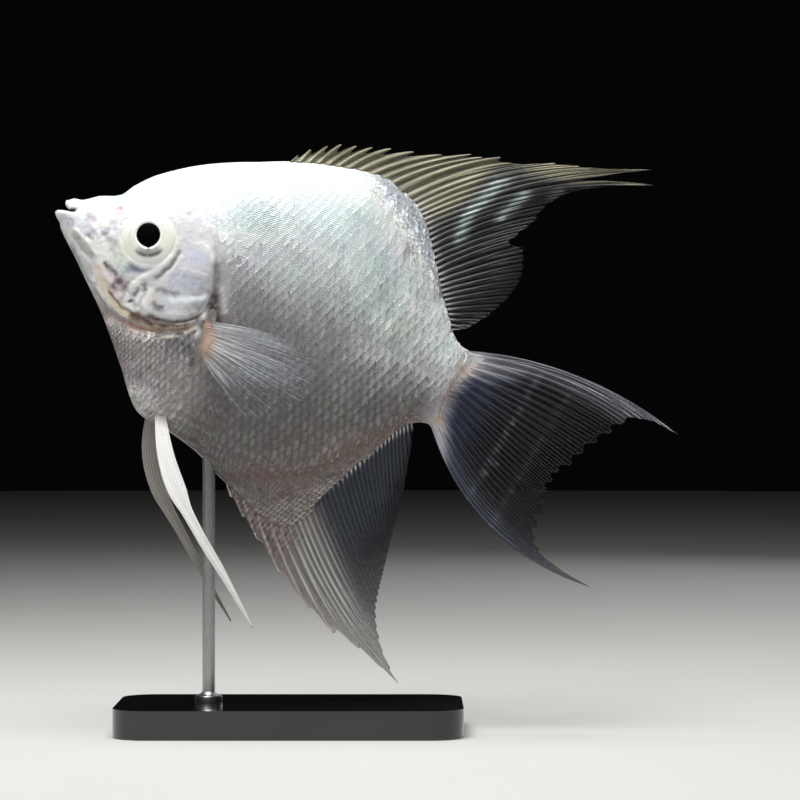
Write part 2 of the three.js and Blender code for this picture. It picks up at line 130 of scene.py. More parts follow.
def tint(colour, other, share):
    """Colours brought towards another colour, by a share for each place."""
    colour, other, share = (np.asarray(part, float) for part in (colour, other, share))
    return mix(colour, other, share[..., None])


def ridge(value, middle, width):
    """1 where a value is at the middle, falling off softly within width."""
    return np.exp(-(((value - middle) / width) ** 2))


def blot(x, z, middle_x, middle_z, half_x, half_z):
    """1 at a middle, falling off softly within the half sizes."""
    return np.exp(-(((x - middle_x) / half_x) ** 2 + ((z - middle_z) / half_z) ** 2))


def to_line(x, z, points):
    """How far each place is from a line of straight pieces, negative on its right-hand side,
    and where along it the nearest point is, from 0 to 1."""
    points = np.array(points, float)
    lengths = np.hypot(*np.diff(points, axis=0).T)
    starts = np.concatenate([[0], np.cumsum(lengths)])
    best = np.full(np.shape(x), 1e9)
    side = np.ones(np.shape(x))
    along = np.zeros(np.shape(x))
    for (ax, az), (bx, bz), length, start in zip(points[:-1], points[1:], lengths, starts):
        ux, uz = (bx - ax) / length, (bz - az) / length
        reach = np.clip((x - ax) * ux + (z - az) * uz, 0, length)
        dx, dz = x - ax - ux * reach, z - az - uz * reach
        apart = np.hypot(dx, dz)
        nearer = apart < best
        best = np.where(nearer, apart, best)
        side = np.where(nearer, np.sign(ux * dz - uz * dx), side)
        along = np.where(nearer, (start + reach) / starts[-1], along)
    return best * np.where(side < 0, -1, 1), along


def bump_line(x, z, points, width, ends=0.12):
    """1 on a line, falling off within width and towards the line's ends."""
    apart, along = to_line(x, z, points)
    fade = step(along, -0.01, ends) * (1 - step(along, 1 - ends, 1.01))
    return ridge(apart, 0, width) * fade


def ripple(x, z, size, seed):
    """Smooth unevenness between about -1 and 1, with features of about size."""
    draw = np.random.default_rng(seed)
    total = np.zeros(np.shape(x))
    waves, strength = 9, 1.6
    for _ in range(waves):
        angle, phase = draw.uniform(0, 2 * np.pi, 2)
        rate = 2 * np.pi / (size * draw.uniform(0.7, 1.6))
        total += np.sin(rate * (x * np.cos(angle) + z * np.sin(angle)) + phase)
    return total * strength / waves


def linear(colour):
    """A screen colour, 0 to 1, as light."""
    colour = np.asarray(colour, float)
    return np.where(colour <= 0.04045, colour / 12.92, ((colour + 0.055) / 1.055) ** 2.4)


# ------------------------ the body's form

BODY_START, BODY_END = -0.2, 79.6
back = through(
    (-0.2, 1.5), (0.6, 2.3), (2.5, 2.8), (5, 4.5), (8.5, 6.3), (10, 8.7), (13, 12.1), (20, 17.2),
    (30, 22), (40, 25), (48, 25.6), (55, 21.5), (62, 16.2), (68, 10.9), (72, 6.9), (76, 6.1),
    (80, 6.5),
)
belly = through(
    (-0.2, -1.2), (0.6, -2.6), (2, -3.8), (8, -9), (14, -14.2), (20, -20.4), (26, -26.8),
    (32, -27.8), (38, -29.1), (44, -31), (50, -29.5), (57, -25.5), (63, -18.5), (70, -9),
    (76, -8.7), (80, -10),
)
widest_level = through(
    (-0.2, 0.2), (6, -1.2), (15, 0.5), (28, 1.5), (45, 0.5), (60, -0.5), (76, -1.3),
)
half_thickness = through(
    (-0.2, 0.7), (1, 1.3), (3, 2), (6, 2.9), (10, 4.1), (15, 5.2), (21, 5.8), (28, 5.9),
    (38, 5.4), (48, 4.6), (58, 3.6), (66, 2.6), (72, 1.85), (75, 1.35), (77.5, 0.7), (79.6, 0.12),
)
back_ridge = through(
    (0, 0.25), (10, 0.4), (30, 0.7), (50, 1.2), (62, 1.3), (70, 1.1), (76, 0.55), (79.6, 0.1),
)
belly_keel = through(
    (0, 0.25), (14, 0.5), (26, 0.8), (44, 1), (55, 1.3), (68, 1.2), (76, 0.55), (79.6, 0.1),
)
narrowing = through((0, 0.9), (8, 1), (15, 1.1), (30, 1.25), (50, 1.3), (68, 1.2), (76, 1.1))
lip_slant = through((0, 0.5), (6, 0))

# How far the scaled sheaths of the dorsal and anal fins stand beyond the body's own edge.
dorsal_sheath = through(
    (28, 0), (36, 0.7), (44, 1.3), (48, 2), (50, 2.8), (53, 3.8), (56, 4.9), (59, 4.7), (61, 3.8),
    (63, 2.6), (65, 1.8), (67, 1), (70, 0.3), (73, 0),
)
anal_sheath = through(
    (41, 0), (44, 0.6), (47, 2), (50, 4.2), (54, 7.6), (57, 9.7), (59.5, 10.4), (61, 8.9),
    (62, 7.2), (63.5, 5.4), (66, 3.8), (69, 2), (71, 0.9), (74, 0),
)
SHEATH_HALF = 0.42

# The front outline of the closed jaws: how far forward each height of the lips reaches.
lips = through(
    (-2.6, 0.5), (-2, -0.35), (-1.5, -0.72), (-1.05, -0.78), (-0.7, -0.6), (-0.4, -0.1),
    (-0.1, 0.9), (0.1, 1.4), (0.3, 1.15), (0.5, 0.62), (0.8, 0.3), (1.2, 0.16), (1.6, 0.2), (2, 0.5),
)
LIPS_DEEP = 3.0
MOUTH = {"corner": 2.6, "half_height": 0.16, "depth": 0.7}
mouth_level = straight((-0.2, 0.08), (1.3, 0.12), (2.6, 0.5))

# The eye: middle of its rim, radii, how deep its socket is, and how far its pupil is off middle.
EYE_LEAN = (0.13, -0.05)
EYE = {"x": 16.3, "z": 1.4, "rim": 4.6, "socket": 1.9, "pupil_x": -0.2, "pupil_z": 0.4}

# The rear and lower edge of the gill cover, and that of the membrane that goes on under it.
COVER_EDGE = [
    (24.6, 6.6), (26.6, 5), (28, 3), (28.5, 1.2), (28.9, -0.4), (29.8, -2.4), (29.8, -4.4),
    (29.7, -6.3), (28.5, -8), (26.9, -9.2), (24.8, -10), (22.4, -10.5), (20.8, -10.1),
]
GILL_EDGE = [
    (24.6, 6.6), (26.6, 5), (28, 3), (28.5, 1.2), (28.9, -0.4), (29.8, -2.4), (30, -4.6),
    (30, -6.6), (29.8, -8.8), (28.4, -10.6), (26, -12.2), (23, -13.4), (19.5, -14),
    (16.2, -13.8), (13.2, -12.4), (10.4, -9.6),
]

# Lines of the face: height, half width, colour, how strong the colour is, and the places. Their colours are
# partly the face's own markings and partly painted light: white on raised folds as painted highlights, grey
# and dark in grooves as painted shade.
WHITE, PEARL, PALE = (0.98, 0.98, 0.97), (0.93, 0.94, 0.98), (0.86, 0.87, 0.88)
GREY, SLATE, DARK = (0.62, 0.63, 0.65), (0.46, 0.47, 0.5), (0.3, 0.28, 0.28)
OLIVE, TAN, RUST = (0.68, 0.7, 0.66), (0.9, 0.85, 0.72), (0.58, 0.35, 0.29)
LIP_LINES = [
    (0.1, 0.4, WHITE, 0.5, [(0.7, 1.9), (1.5, 1.7), (2.2, 1.2)]),
    (-0.1, 0.2, GREY, 0.5, [(2.5, 2.5), (2.7, 1.6), (2.6, 0.9), (2.3, 0.5)]),
    (-0.16, 0.24, DARK, 0.75, [(1.3, 0.2), (1.8, 0.5), (2.3, 0.5)]),
    (0.08, 0.42, PALE, 0.4, [(-0.3, -1), (0.8, -0.7), (2, -0.3)]),
    (-0.08, 0.2, GREY, 0.4, [(0.2, -2), (1.4, -1.6), (2.6, -1)]),
]
SNOUT_LINES = [
    (0.08, 0.55, (0.9, 0.92, 0.98), 0.8, [(3, 2.4), (3.4, 1), (4, -0.4), (4.8, -1.6)]),
    (-0.08, 0.35, (0.8, 0.79, 0.84), 0.5, [(4.4, 2.6), (4.9, 1), (5.4, -0.6), (5.8, -1.7)]),
    (0.12, 0.7, WHITE, 0.9, [(5, 3), (6.2, 1.8), (7.2, 0.7), (8.1, -0.5)]),
    (-0.08, 0.45, (0.78, 0.76, 0.8), 0.6, [(8.8, 2.6), (9.6, 1), (10.2, -0.4)]),
    (-0.1, 0.4, GREY, 0.6, [(8.4, -1), (9.3, -1.7), (10.3, -1.9)]),
    (-0.1, 0.3, SLATE, 0.55, [(5.9, -2.1), (6.6, -2.8), (7.4, -2.6)]),
    (0.1, 0.3, WHITE, 0.8, [(7.4, -1), (8, -2), (8.8, -2.7)]),
    (-0.06, 0.3, (0.7, 0.7, 0.74), 0.5, [(10.3, -3), (11.4, -3.4), (12.3, -4.4)]),
]
JAW_LINES = [
    (0.2, 0.32, WHITE, 1, [(3.2, -2.2), (4.4, -2.8), (6, -3.5), (7.6, -4.4), (9.2, -5.2)]),
    (-0.1, 0.62, OLIVE, 1, [(3.1, -3), (4.6, -3.9), (6.4, -4.8), (8.8, -5.8)]),
    (0.16, 0.22, PALE, 0.9, [(3.4, -4), (5, -5.1), (7, -6.2), (9, -7.1)]),
    (-0.1, 0.36, (0.56, 0.57, 0.58), 0.7, [(3.4, -4.8), (6, -7.2), (9, -9.6), (12, -11.9)]),
    (0.1, 0.28, PALE, 0.6, [(4.4, -6.4), (7.4, -8.9), (10.5, -11.2)]),
    (-0.16, 0.36, (0.42, 0.38, 0.4), 0.8, [(10.2, -5.7), (11.4, -6), (12.8, -6.5), (13.6, -7.2)]),
    (0.16, 0.48, (0.99, 0.94, 0.92), 1, [(10.6, -6.9), (11.8, -7.5), (13.2, -8.4)]),
    (0.1, 0.5, TAN, 0.9, [
        (9.6, -8), (11.4, -9), (13, -10.2), (15, -11.5), (18, -12.3), (21, -12.5), (24, -12.2),
    ]),
    (0.06, 0.18, (0.9, 0.87, 0.8), 0.8, [(11.6, -9.8), (13.4, -11.2), (15.6, -12.3), (18.4, -12.9)]),
    (-0.14, 0.2, (0.4, 0.32, 0.27), 0.8, [
        (12.6, -9.4), (14.4, -10.6), (16.2, -11.4), (18.2, -11.6), (20, -11.3),
    ]),
    (-0.12, 0.2, (0.5, 0.44, 0.4), 0.7, [(10.3, -10), (12.8, -12), (15.4, -13.3)]),
    (0.1, 0.24, (0.74, 0.68, 0.63), 0.6, [(9.6, -10.2), (12.4, -12.8), (15.4, -14.4)]),
    (-0.16, 0.28, RUST, 0.8, [(16.8, -13.4), (19.4, -13.7), (22.4, -13.3), (25.2, -12.2)]),
    (-0.06, 0.75, (0.34, 0.26, 0.21), 1, [
        (17.6, -12), (21.4, -12), (24.4, -11.7), (27, -10.7), (28.8, -9.4),
    ]),
    (0.1, 0.16, (0.7, 0.63, 0.52), 0.7, [(22, -12.4), (25, -11.8), (27.6, -10.3), (29.2, -8.8)]),
    (-0.2, 0.42, (0.3, 0.28, 0.27), 0.9, [
        (20.4, -11), (23, -11), (25.6, -10.4), (27.8, -9.1), (29.4, -7.4),
    ]),
    (0.04, 0.6, (0.97, 0.92, 0.9), 0.9, [
        (14, -14), (17, -15), (19.4, -15.1), (21.6, -14.6), (23.8, -14.2),
    ]),
]
CHEEK_LINES = [
    (0.2, 0.36, WHITE, 1, [(16.3, -8.5), (16.6, -9.8), (17.2, -10.9), (18.6, -11), (19.6, -10.4)]),
    (0.24, 0.55, WHITE, 1.2, [(19.8, -10.2), (20, -9), (19.9, -7.4), (19.5, -6.2)]),
    (-0.2, 0.5, (0.33, 0.31, 0.3), 0.9, [(17, -9.7), (17.5, -10.1)]),
    (-0.16, 0.36, (0.5, 0.49, 0.5), 0.8, [(17.7, -7), (17.8, -8.2), (17.5, -9)]),
    (0.08, 0.25, WHITE, 0.8, [(18.5, -7.6), (18.6, -8.8), (18.3, -9.9)]),
    (-0.18, 0.4, (0.46, 0.43, 0.38), 0.85, [(18.3, -6.2), (18.7, -6.8), (19, -7.4)]),
    (0.3, 0.42, WHITE, 1.2, [
        (16.2, -8.3), (16.6, -7), (17.6, -5.4), (18.8, -3.9), (20, -2.2), (20.8, -0.6), (21.2, 0.8),
    ]),
    (-0.12, 0.34, (0.56, 0.57, 0.6), 0.8, [(16.6, -5), (17.8, -4), (19, -2.7), (19.8, -1.2), (20.1, 0.2)]),
    (0.08, 0.22, PALE, 0.6, [(16.8, -3.6), (18.2, -2.6), (19.2, -1.4)]),
    (-0.22, 0.36, (0.42, 0.41, 0.43), 0.75, [
        (19.4, -5.2), (20.5, -3.5), (21.3, -1.7), (21.7, 0.2), (21.8, 1.9),
    ]),
    (0.14, 0.24, WHITE, 0.9, [(21.3, -3.4), (22, -1.8), (22.4, -0.2), (22.5, 1)]),
    (-0.1, 0.3, (0.5, 0.49, 0.5), 0.7, [(20.7, -6.6), (21.6, -5.8), (22.4, -6.2)]),
    (-0.06, 0.2, (0.8, 0.8, 0.83), 0.6, [(17.8, 6.2), (19.4, 5.2), (20.5, 3.8), (21, 2.4)]),
]
COVER_LINES = [
    (0.1, 0.5, WHITE, 0.8, [(23.3, 3.8), (25.4, 4), (27.2, 3.1), (28, 1.7)]),
    (0.06, 0.2, PEARL, 0.7, [(22.4, -1.6), (24.4, -1), (26.4, -0.6), (28.4, -0.4)]),
    (-0.08, 0.3, (0.66, 0.67, 0.73), 0.6, [(22.8, -2.6), (25, -2.1), (27.6, -1.6)]),
    (0.06, 0.18, PEARL, 0.6, [(23.6, 2.6), (24, 0.6), (23.8, -1.2), (23.2, -3.4), (22.4, -5)]),
    (0.12, 0.45, (0.96, 0.99, 1), 1, [
        (22.8, -6.9), (24.2, -6.9), (26, -6.1), (27.8, -5.1), (29, -4.1), (29.6, -3.2),
    ]),
    (-0.1, 0.4, (0.5, 0.51, 0.54), 0.7, [(21.6, -5.6), (22.6, -6), (23.8, -5.7), (25, -5.2)]),
    (0.06, 0.3, PALE, 0.6, [(22.6, -9.6), (24.6, -9.3), (27, -8.3), (29, -6.5)]),
    (-0.1, 0.36, (0.48, 0.45, 0.47), 0.75, [(21, -8.2), (21.8, -8.9), (23.4, -8.6)]),
    (-0.3, 0.5, (0.42, 0.4, 0.41), 0.6, [(28.3, 2.4), (28.9, 1.2), (29.6, 0), (30.1, -1.6), (30.2, -3)]),
    (-0.34, 0.85, (0.24, 0.21, 0.21), 1, [(30.1, -2.2), (30.7, -4.2), (31.7, -6.1), (33.4, -8.2)]),
    (0.16, 0.34, (0.86, 0.85, 0.84), 0.8, [(30.7, -0.8), (31.6, -2.4), (32.6, -3.8), (33.6, -5.6)]),
    (0.1, 0.3, (0.92, 0.88, 0.84), 0.8, [(30.2, -8.8), (28.4, -11), (25.8, -13), (23.6, -14.2)]),
    (0.07, 0.4, WHITE, 0.5, [(24.4, 7.2), (27, 6.8), (30, 7.4), (33, 9)]),
]
FACE_LINES = LIP_LINES + SNOUT_LINES + JAW_LINES + CHEEK_LINES + COVER_LINES

# Soft patches of colour on the face and the flank: centre, half sizes, colour and strength.
SOFT_PATCHES = [
    (6.5, 3, 1, 0.8, (0.88, 0.64, 0.69), 0.7),
    (9.2, 3.7, 0.9, 0.8, (0.88, 0.62, 0.67), 0.7),
    (4.7, 0.8, 0.7, 0.7, (0.86, 0.74, 0.8), 0.6),
    (7.6, 5, 1.4, 0.8, (0.66, 0.86, 0.8), 0.8),
    (9.6, 6.6, 1, 1.5, (0.66, 0.86, 0.8), 0.75),
    (1.4, -1.4, 1.8, 0.9, (0.78, 0.79, 0.82), 0.6),
    (8.4, -3.5, 1.7, 1, WHITE, 1),
    (10.9, -4.6, 1.8, 1, WHITE, 1),
    (10.6, -1.6, 0.9, 0.6, (0.6, 0.6, 0.65), 0.7),
    (6.4, -1.4, 1.1, 0.5, (0.66, 0.67, 0.74), 0.7),
    (22.4, -9.2, 1.2, 0.5, (0.42, 0.4, 0.43), 0.7),
    (12.4, -2.4, 1.6, 1.6, (0.95, 0.95, 0.83), 0.6),
    (13.2, -4, 1.2, 0.8, (0.86, 0.92, 0.84), 0.6),
    (20.3, 1.6, 0.8, 1.8, (0.97, 0.96, 0.88), 0.5),
    (15.2, -3.1, 0.7, 0.4, (0.9, 0.76, 0.62), 0.6),
    (13.6, -5.4, 1.1, 0.6, (0.78, 0.86, 0.82), 0.6),
    (15.9, -4.3, 1.3, 0.8, (0.4, 0.44, 0.52), 1),
    (14.8, -6, 1.1, 0.5, (0.7, 0.82, 0.79), 0.5),
    (9.7, -6.9, 0.7, 0.6, (0.9, 0.68, 0.6), 0.7),
    (14.2, -7.6, 0.95, 0.75, (0.34, 0.2, 0.24), 0.95),
    (15.5, -8.1, 0.5, 0.6, (0.36, 0.32, 0.34), 0.8),
    (13.8, -8.9, 0.6, 0.4, (0.34, 0.27, 0.26), 0.8),
    (14.9, -9.6, 0.7, 0.55, (0.97, 0.86, 0.85), 0.9),
    (15.7, -10.4, 0.4, 0.5, (0.8, 0.7, 0.68), 0.7),
    (21.2, -8.5, 0.4, 0.4, (0.85, 0.62, 0.62), 0.6),
    (25, 1.6, 2.6, 1.7, (0.86, 0.87, 0.96), 0.75),
    (25.8, -3, 2.6, 1.6, (0.68, 0.71, 0.79), 0.7),
    (22.8, -3.6, 0.8, 1.6, (0.7, 0.72, 0.79), 0.6),
    (24, -8, 1.4, 0.7, (0.72, 0.74, 0.77), 0.5),
    (28.4, -5, 0.5, 0.5, (0.66, 0.66, 0.86), 0.5),
    (20.5, -14.4, 3.4, 0.8, (0.93, 0.82, 0.79), 0.7),
    (28.6, -10.3, 0.7, 0.5, (0.6, 0.48, 0.34), 0.7),
    (30.1, -7, 0.6, 1, WHITE, 0.95),
    (30.3, -10.3, 0.5, 0.9, WHITE, 0.95),
    (31.6, -8.2, 0.8, 0.6, (0.96, 0.7, 0.66), 0.85),
    (32.8, -10.8, 1.2, 2.4, (0.97, 0.83, 0.73), 0.85),
    (25.6, 6.9, 1, 0.8, (0.93, 0.87, 0.84), 0.5),
    (30, 12.4, 4, 2.6, (0.7, 0.77, 0.77), 0.7),
    (24.2, -23.6, 2.4, 1.3, (0.98, 0.96, 0.95), 1),
    (26.6, -25.4, 1.5, 0.9, (0.96, 0.94, 0.93), 0.9),
    (31, 6.2, 4, 2.2, (0.98, 0.99, 1), 0.8),
    (31.6, -2, 2.2, 4, (0.9, 0.9, 0.93), 0.3),
    (24.4, -6.4, 2.2, 1.3, (0.74, 0.76, 0.79), 0.6),
    # These flank patches, grey low on the flank and near white higher up, are partly the flank's own tone
    # and partly painted shade and painted light.
    (54, -22, 9, 5, (0.25, 0.24, 0.24), 0.3),
    (48, -9, 4.5, 7, (0.36, 0.36, 0.38), 0.3),
    (66, 13.4, 3, 2.4, (0.5, 0.5, 0.49), 0.5),
    (36, 7, 9, 5, (0.9, 0.91, 0.91), 0.5),
    (66, 7, 4, 3.4, (0.95, 0.95, 0.94), 0.55),
    (56, 11, 5, 5, (0.8, 0.87, 0.87), 0.35),
    (61, 5, 4, 5, (0.88, 0.88, 0.84), 0.3),
]
NOSTRIL = {"x": 9.2, "z": 3.85, "radius": 0.36}

# The slit behind the gill cover and the ridge behind it, and how near to them scales grow.
SLIT_LINES = (
    ([(26.4, 6.4), (28.2, 4), (28.9, 1.5), (29.7, 0.5), (30.3, -0.9)], 1.0),
    ([(30.5, -2.8), (31.1, -4.6), (32, -6.2), (33.3, -7.8)], 0.9),
    ([(30.9, -0.6), (31.8, -2.2), (32.8, -4), (33.5, -5.8)], 0.6),
)
LATERAL_LINE = [
    (26, 6), (30, 8.3), (34, 10.2), (38, 11.1), (42, 11.4), (47, 10.6), (51, 9), (54, 7.4),
]
LOWER_LINE = [(52, -1.2), (60, -1.4), (68, -1.3), (76, -1.2)]

# How much farther back a marking is on the bulging flank than it looks in profile.
profile_shift = through((0, 0.12), (6, 0.3), (14, 0.44), (26, 0.4), (34, 0.32), (50, 0.12), (70, 0))


def tail_web_share(x, z):
    """0 on the silvery tail base and 1 where the dark web of the tail fin starts."""
    ways = np.arctan2(z + 3.4, x - 66)
    inward = x - 0.055 * (z + 3.6) ** 2 + 0.5 * np.sin(97 * ways + 5 * np.sin(23 * ways))
    return step(inward, 74, 77.4) * (1 - step(z + 0.25 * (x - 76), 4, 5.6))


def top_edge(x):
    """The upper outline of the scaled body."""
    return back(x) + dorsal_sheath(x)


def bottom_edge(x):
    """The lower outline of the scaled body."""
    return belly(x) - anal_sheath(x)


def height_share(x, z):
    """0 at the widest level of the flank, 1 on the body's back and -1 on its belly."""
    level = widest_level(x)
    return np.where(z > level, (z - level) / (back(x) - level), (z - level) / (level - belly(x)))


def eye_distance(x, z):
    """How far a place is from the middle of the eye's rim."""
    return np.hypot(x - EYE["x"], z - EYE["z"])


def cheek_share(x, z):
    """1 on the crumpled silvery skin of the snout, cheek and jaw, 0 on the smooth forehead."""
    share = step(x, 2, 4.5) * (1 - step(x, 19.5, 22)) * (1 - step(z, 1.5, 4.5)) * step(z, -13, -11)
    return share * step(eye_distance(x, z), EYE["rim"], EYE["rim"] + 0.8)


def wandering(x, z):
    """Places moved a little, so that lines drawn through them wander like folds of skin."""
    return x + 0.12 * ripple(x, z, 2, 71), z + 0.12 * ripple(x, z, 2, 72)


def creases(x, z):
    """1 in the creases between the small bulges of the cheek's skin, 0 on the bulges."""
    middle = np.exp(-((((x - 15.5) / 5.5) ** 2 + ((z + 8) / 3.4) ** 2) ** 2))
    return middle * np.clip(1 - 2.6 * np.abs(ripple(x, z, 2.1, 75)), 0, 1)


def relief(x, z):
    """How far the face's folds, plates and rims stand out of the smooth body."""
    rise = np.zeros(np.shape(x))
    body_x = x
    x = x - profile_shift(x)
    wx, wz = wandering(x, z)
    uneven = 0.72 + 0.2 * ripple(x, z, 2.4, 73)
    for height, width, _, _, points in FACE_LINES:
        rise += height * uneven * bump_line(wx, wz, points, width * 1.2)
    outside, along = to_line(x, z, COVER_EDGE)
    free = step(along, 0.02, 0.2) * (1 - step(along, 0.9, 1))
    rise += 0.3 * ridge(outside, 0, 2.4) * (outside < 0) * free
    rise -= 0.3 * ridge(outside, 0.25, 0.4) * free
    behind, along = to_line(x, z, GILL_EDGE)
    under_chin = step(along, 0.45, 0.55) * (1 - step(along, 0.85, 1))
    rise -= 0.2 * ridge(behind, 0.2, 0.3) * under_chin
    away = eye_distance(body_x, z)
    rise += 0.06 * ridge(away - EYE["rim"], 0.5, 0.5)
    rise -= EYE["socket"] * (1 - step(away, EYE["rim"] - 0.8, EYE["rim"] - 0.3))
    nostril = np.hypot(x - NOSTRIL["x"], z - NOSTRIL["z"])
    rise -= 0.15 * ridge(nostril, 0, NOSTRIL["radius"])
    rise += 0.05 * ridge(nostril, 0.65, 0.25)
    # The fleshy root of the pectoral fin.
    rise += 0.55 * np.exp(-(((x - 32.4) / 1.5) ** 2 + ((z + 10.3) / 3.1) ** 2) ** 1.5)
    on_face = 1 - step(behind, -0.6, 0.2)
    rise += 0.03 * ripple(x, z, 1.9, 3) * on_face
    rise += (0.01 + 0.03 * cheek_share(x, z)) * ripple(x, z, 1.7, 4) * on_face
    rise -= 0.08 * creases(wx, wz)
    return rise


def end_pull(z):
    """How far the scooped end of the body falls short of BODY_END at each height."""
    return np.clip(BODY_END - 75.7 - 0.025 * (z + 3.4) ** 2, 0, None)


def flank_spread(t):
    """The share of a ring's height at t, closer together near the back and the belly."""
    return 0.5 * t + 0.25 * (1 - np.cos(np.pi * t))


def flank(x, t, with_relief=True):
    """The skin of the right flank, x from the snout and t from 0 on the back to 1 under it."""
    x, t = np.broadcast_arrays(np.asarray(x, float), np.asarray(t, float))
    top, bottom, level = top_edge(x), bottom_edge(x), widest_level(x)
    z = top + (bottom - top) * flank_spread(t)
    above = z > level
    edge = np.where(above, back(x) - level, level - belly(x))
    rim = np.where(above, back_ridge(x), belly_keel(x))
    sheath = np.where(above, dorsal_sheath(x), anal_sheath(x))
    out = np.abs(z - level)
    up = out / edge
    # A small offset keeps the flank from falling off steeply at the back and the keel.
    soft, power = 0.04, narrowing(x) / 2
    body = (np.clip(1 - up * up, 0, 1) + soft) ** power - soft**power
    body = half_thickness(x) * body / ((1 + soft) ** power - soft**power)
    body = body + rim * np.minimum(up, 1) ** 4
    at_edge = step(0, -0.3, 1.1)
    thinned = (step((out - edge) / np.maximum(sheath, 0.2), -0.3, 1.1) - at_edge) / (1 - at_edge)
    blade = mix(rim, SHEATH_HALF, thinned)
    width = np.where(up > 1, blade, body) - angelfish_sizes().coat_depth / MM * step(x, 2, 8)
    round_over = mix(rim, SHEATH_HALF, np.clip(sheath / 1.5, 0, 1)) * 1.15
    near_edge = np.clip(1 - (edge + sheath - out) / round_over, 0, 1)
    if with_relief:
        width = width + relief(x, z) * (1 - np.minimum(up, 1) ** 6) * step(x, -0.2, 1.4)
    width = width * np.sqrt(1 - near_edge**2)
    width = width * np.sqrt(1 - np.clip((0.9 - x) / 1.1, 0, 1) ** 2)
    width = width * np.sqrt(1 - np.clip(1 - (BODY_END - x) / 0.6, 0, 1) ** 2)
    slant = np.clip(np.where(above, up, -up), -1, 1)
    pushed = lips(z) - BODY_START - lip_slant(BODY_START) * slant
    share = np.clip(1 - (x - BODY_START) / LIPS_DEEP, 0, 1) ** 2
    place = x + lip_slant(x) * slant + pushed * share - end_pull(z) * step(x, 72, BODY_END)
    cleft = ridge(z, mouth_level(place), MOUTH["half_height"])
    cleft = cleft * (1 - step(place, MOUTH["corner"] - 0.6, MOUTH["corner"]))
    width = width * (1 - MOUTH["depth"] * cleft)
    return np.stack([place, np.maximum(width, 0), z], -1)


# ------------------------ markings

def iris_colour(x, z):
    """The near-white colour of the iris, which the skin round the eye takes on too."""
    angle = np.degrees(np.arctan2(z - EYE["z"], x - EYE["x"]) - NOSE_UP)
    cream = ridge(angle, -20, 45) + ridge(angle, -150, 40)
    colour = tint((0.98, 0.985, 0.98), (0.95, 0.955, 0.89), np.clip(cream, 0, 1) * 0.8)
    # Greyer towards the bottom: painted shade under the eye's rim.
    return tint(colour, (0.84, 0.85, 0.85), 0.5 * ridge(angle, -85, 35))


def stalk_colour(colour, x, z):
    """The pearly tail base with its two peach spots."""
    colour = tint(colour, (0.84, 0.82, 0.84), step(x, 69, 75) * 0.7)
    peach = blot(x, z, 75.2, 2.9, 1.3, 1.6) + 0.8 * blot(x, z, 75, -6.8, 0.9, 1.2)
    colour = tint(colour, (0.94, 0.77, 0.65), np.clip(peach, 0, 1) * 0.75)
    return tint(colour, (0.62, 0.45, 0.43), 0.5 * blot(x, z, 74.6, -1.4, 1, 2.6))


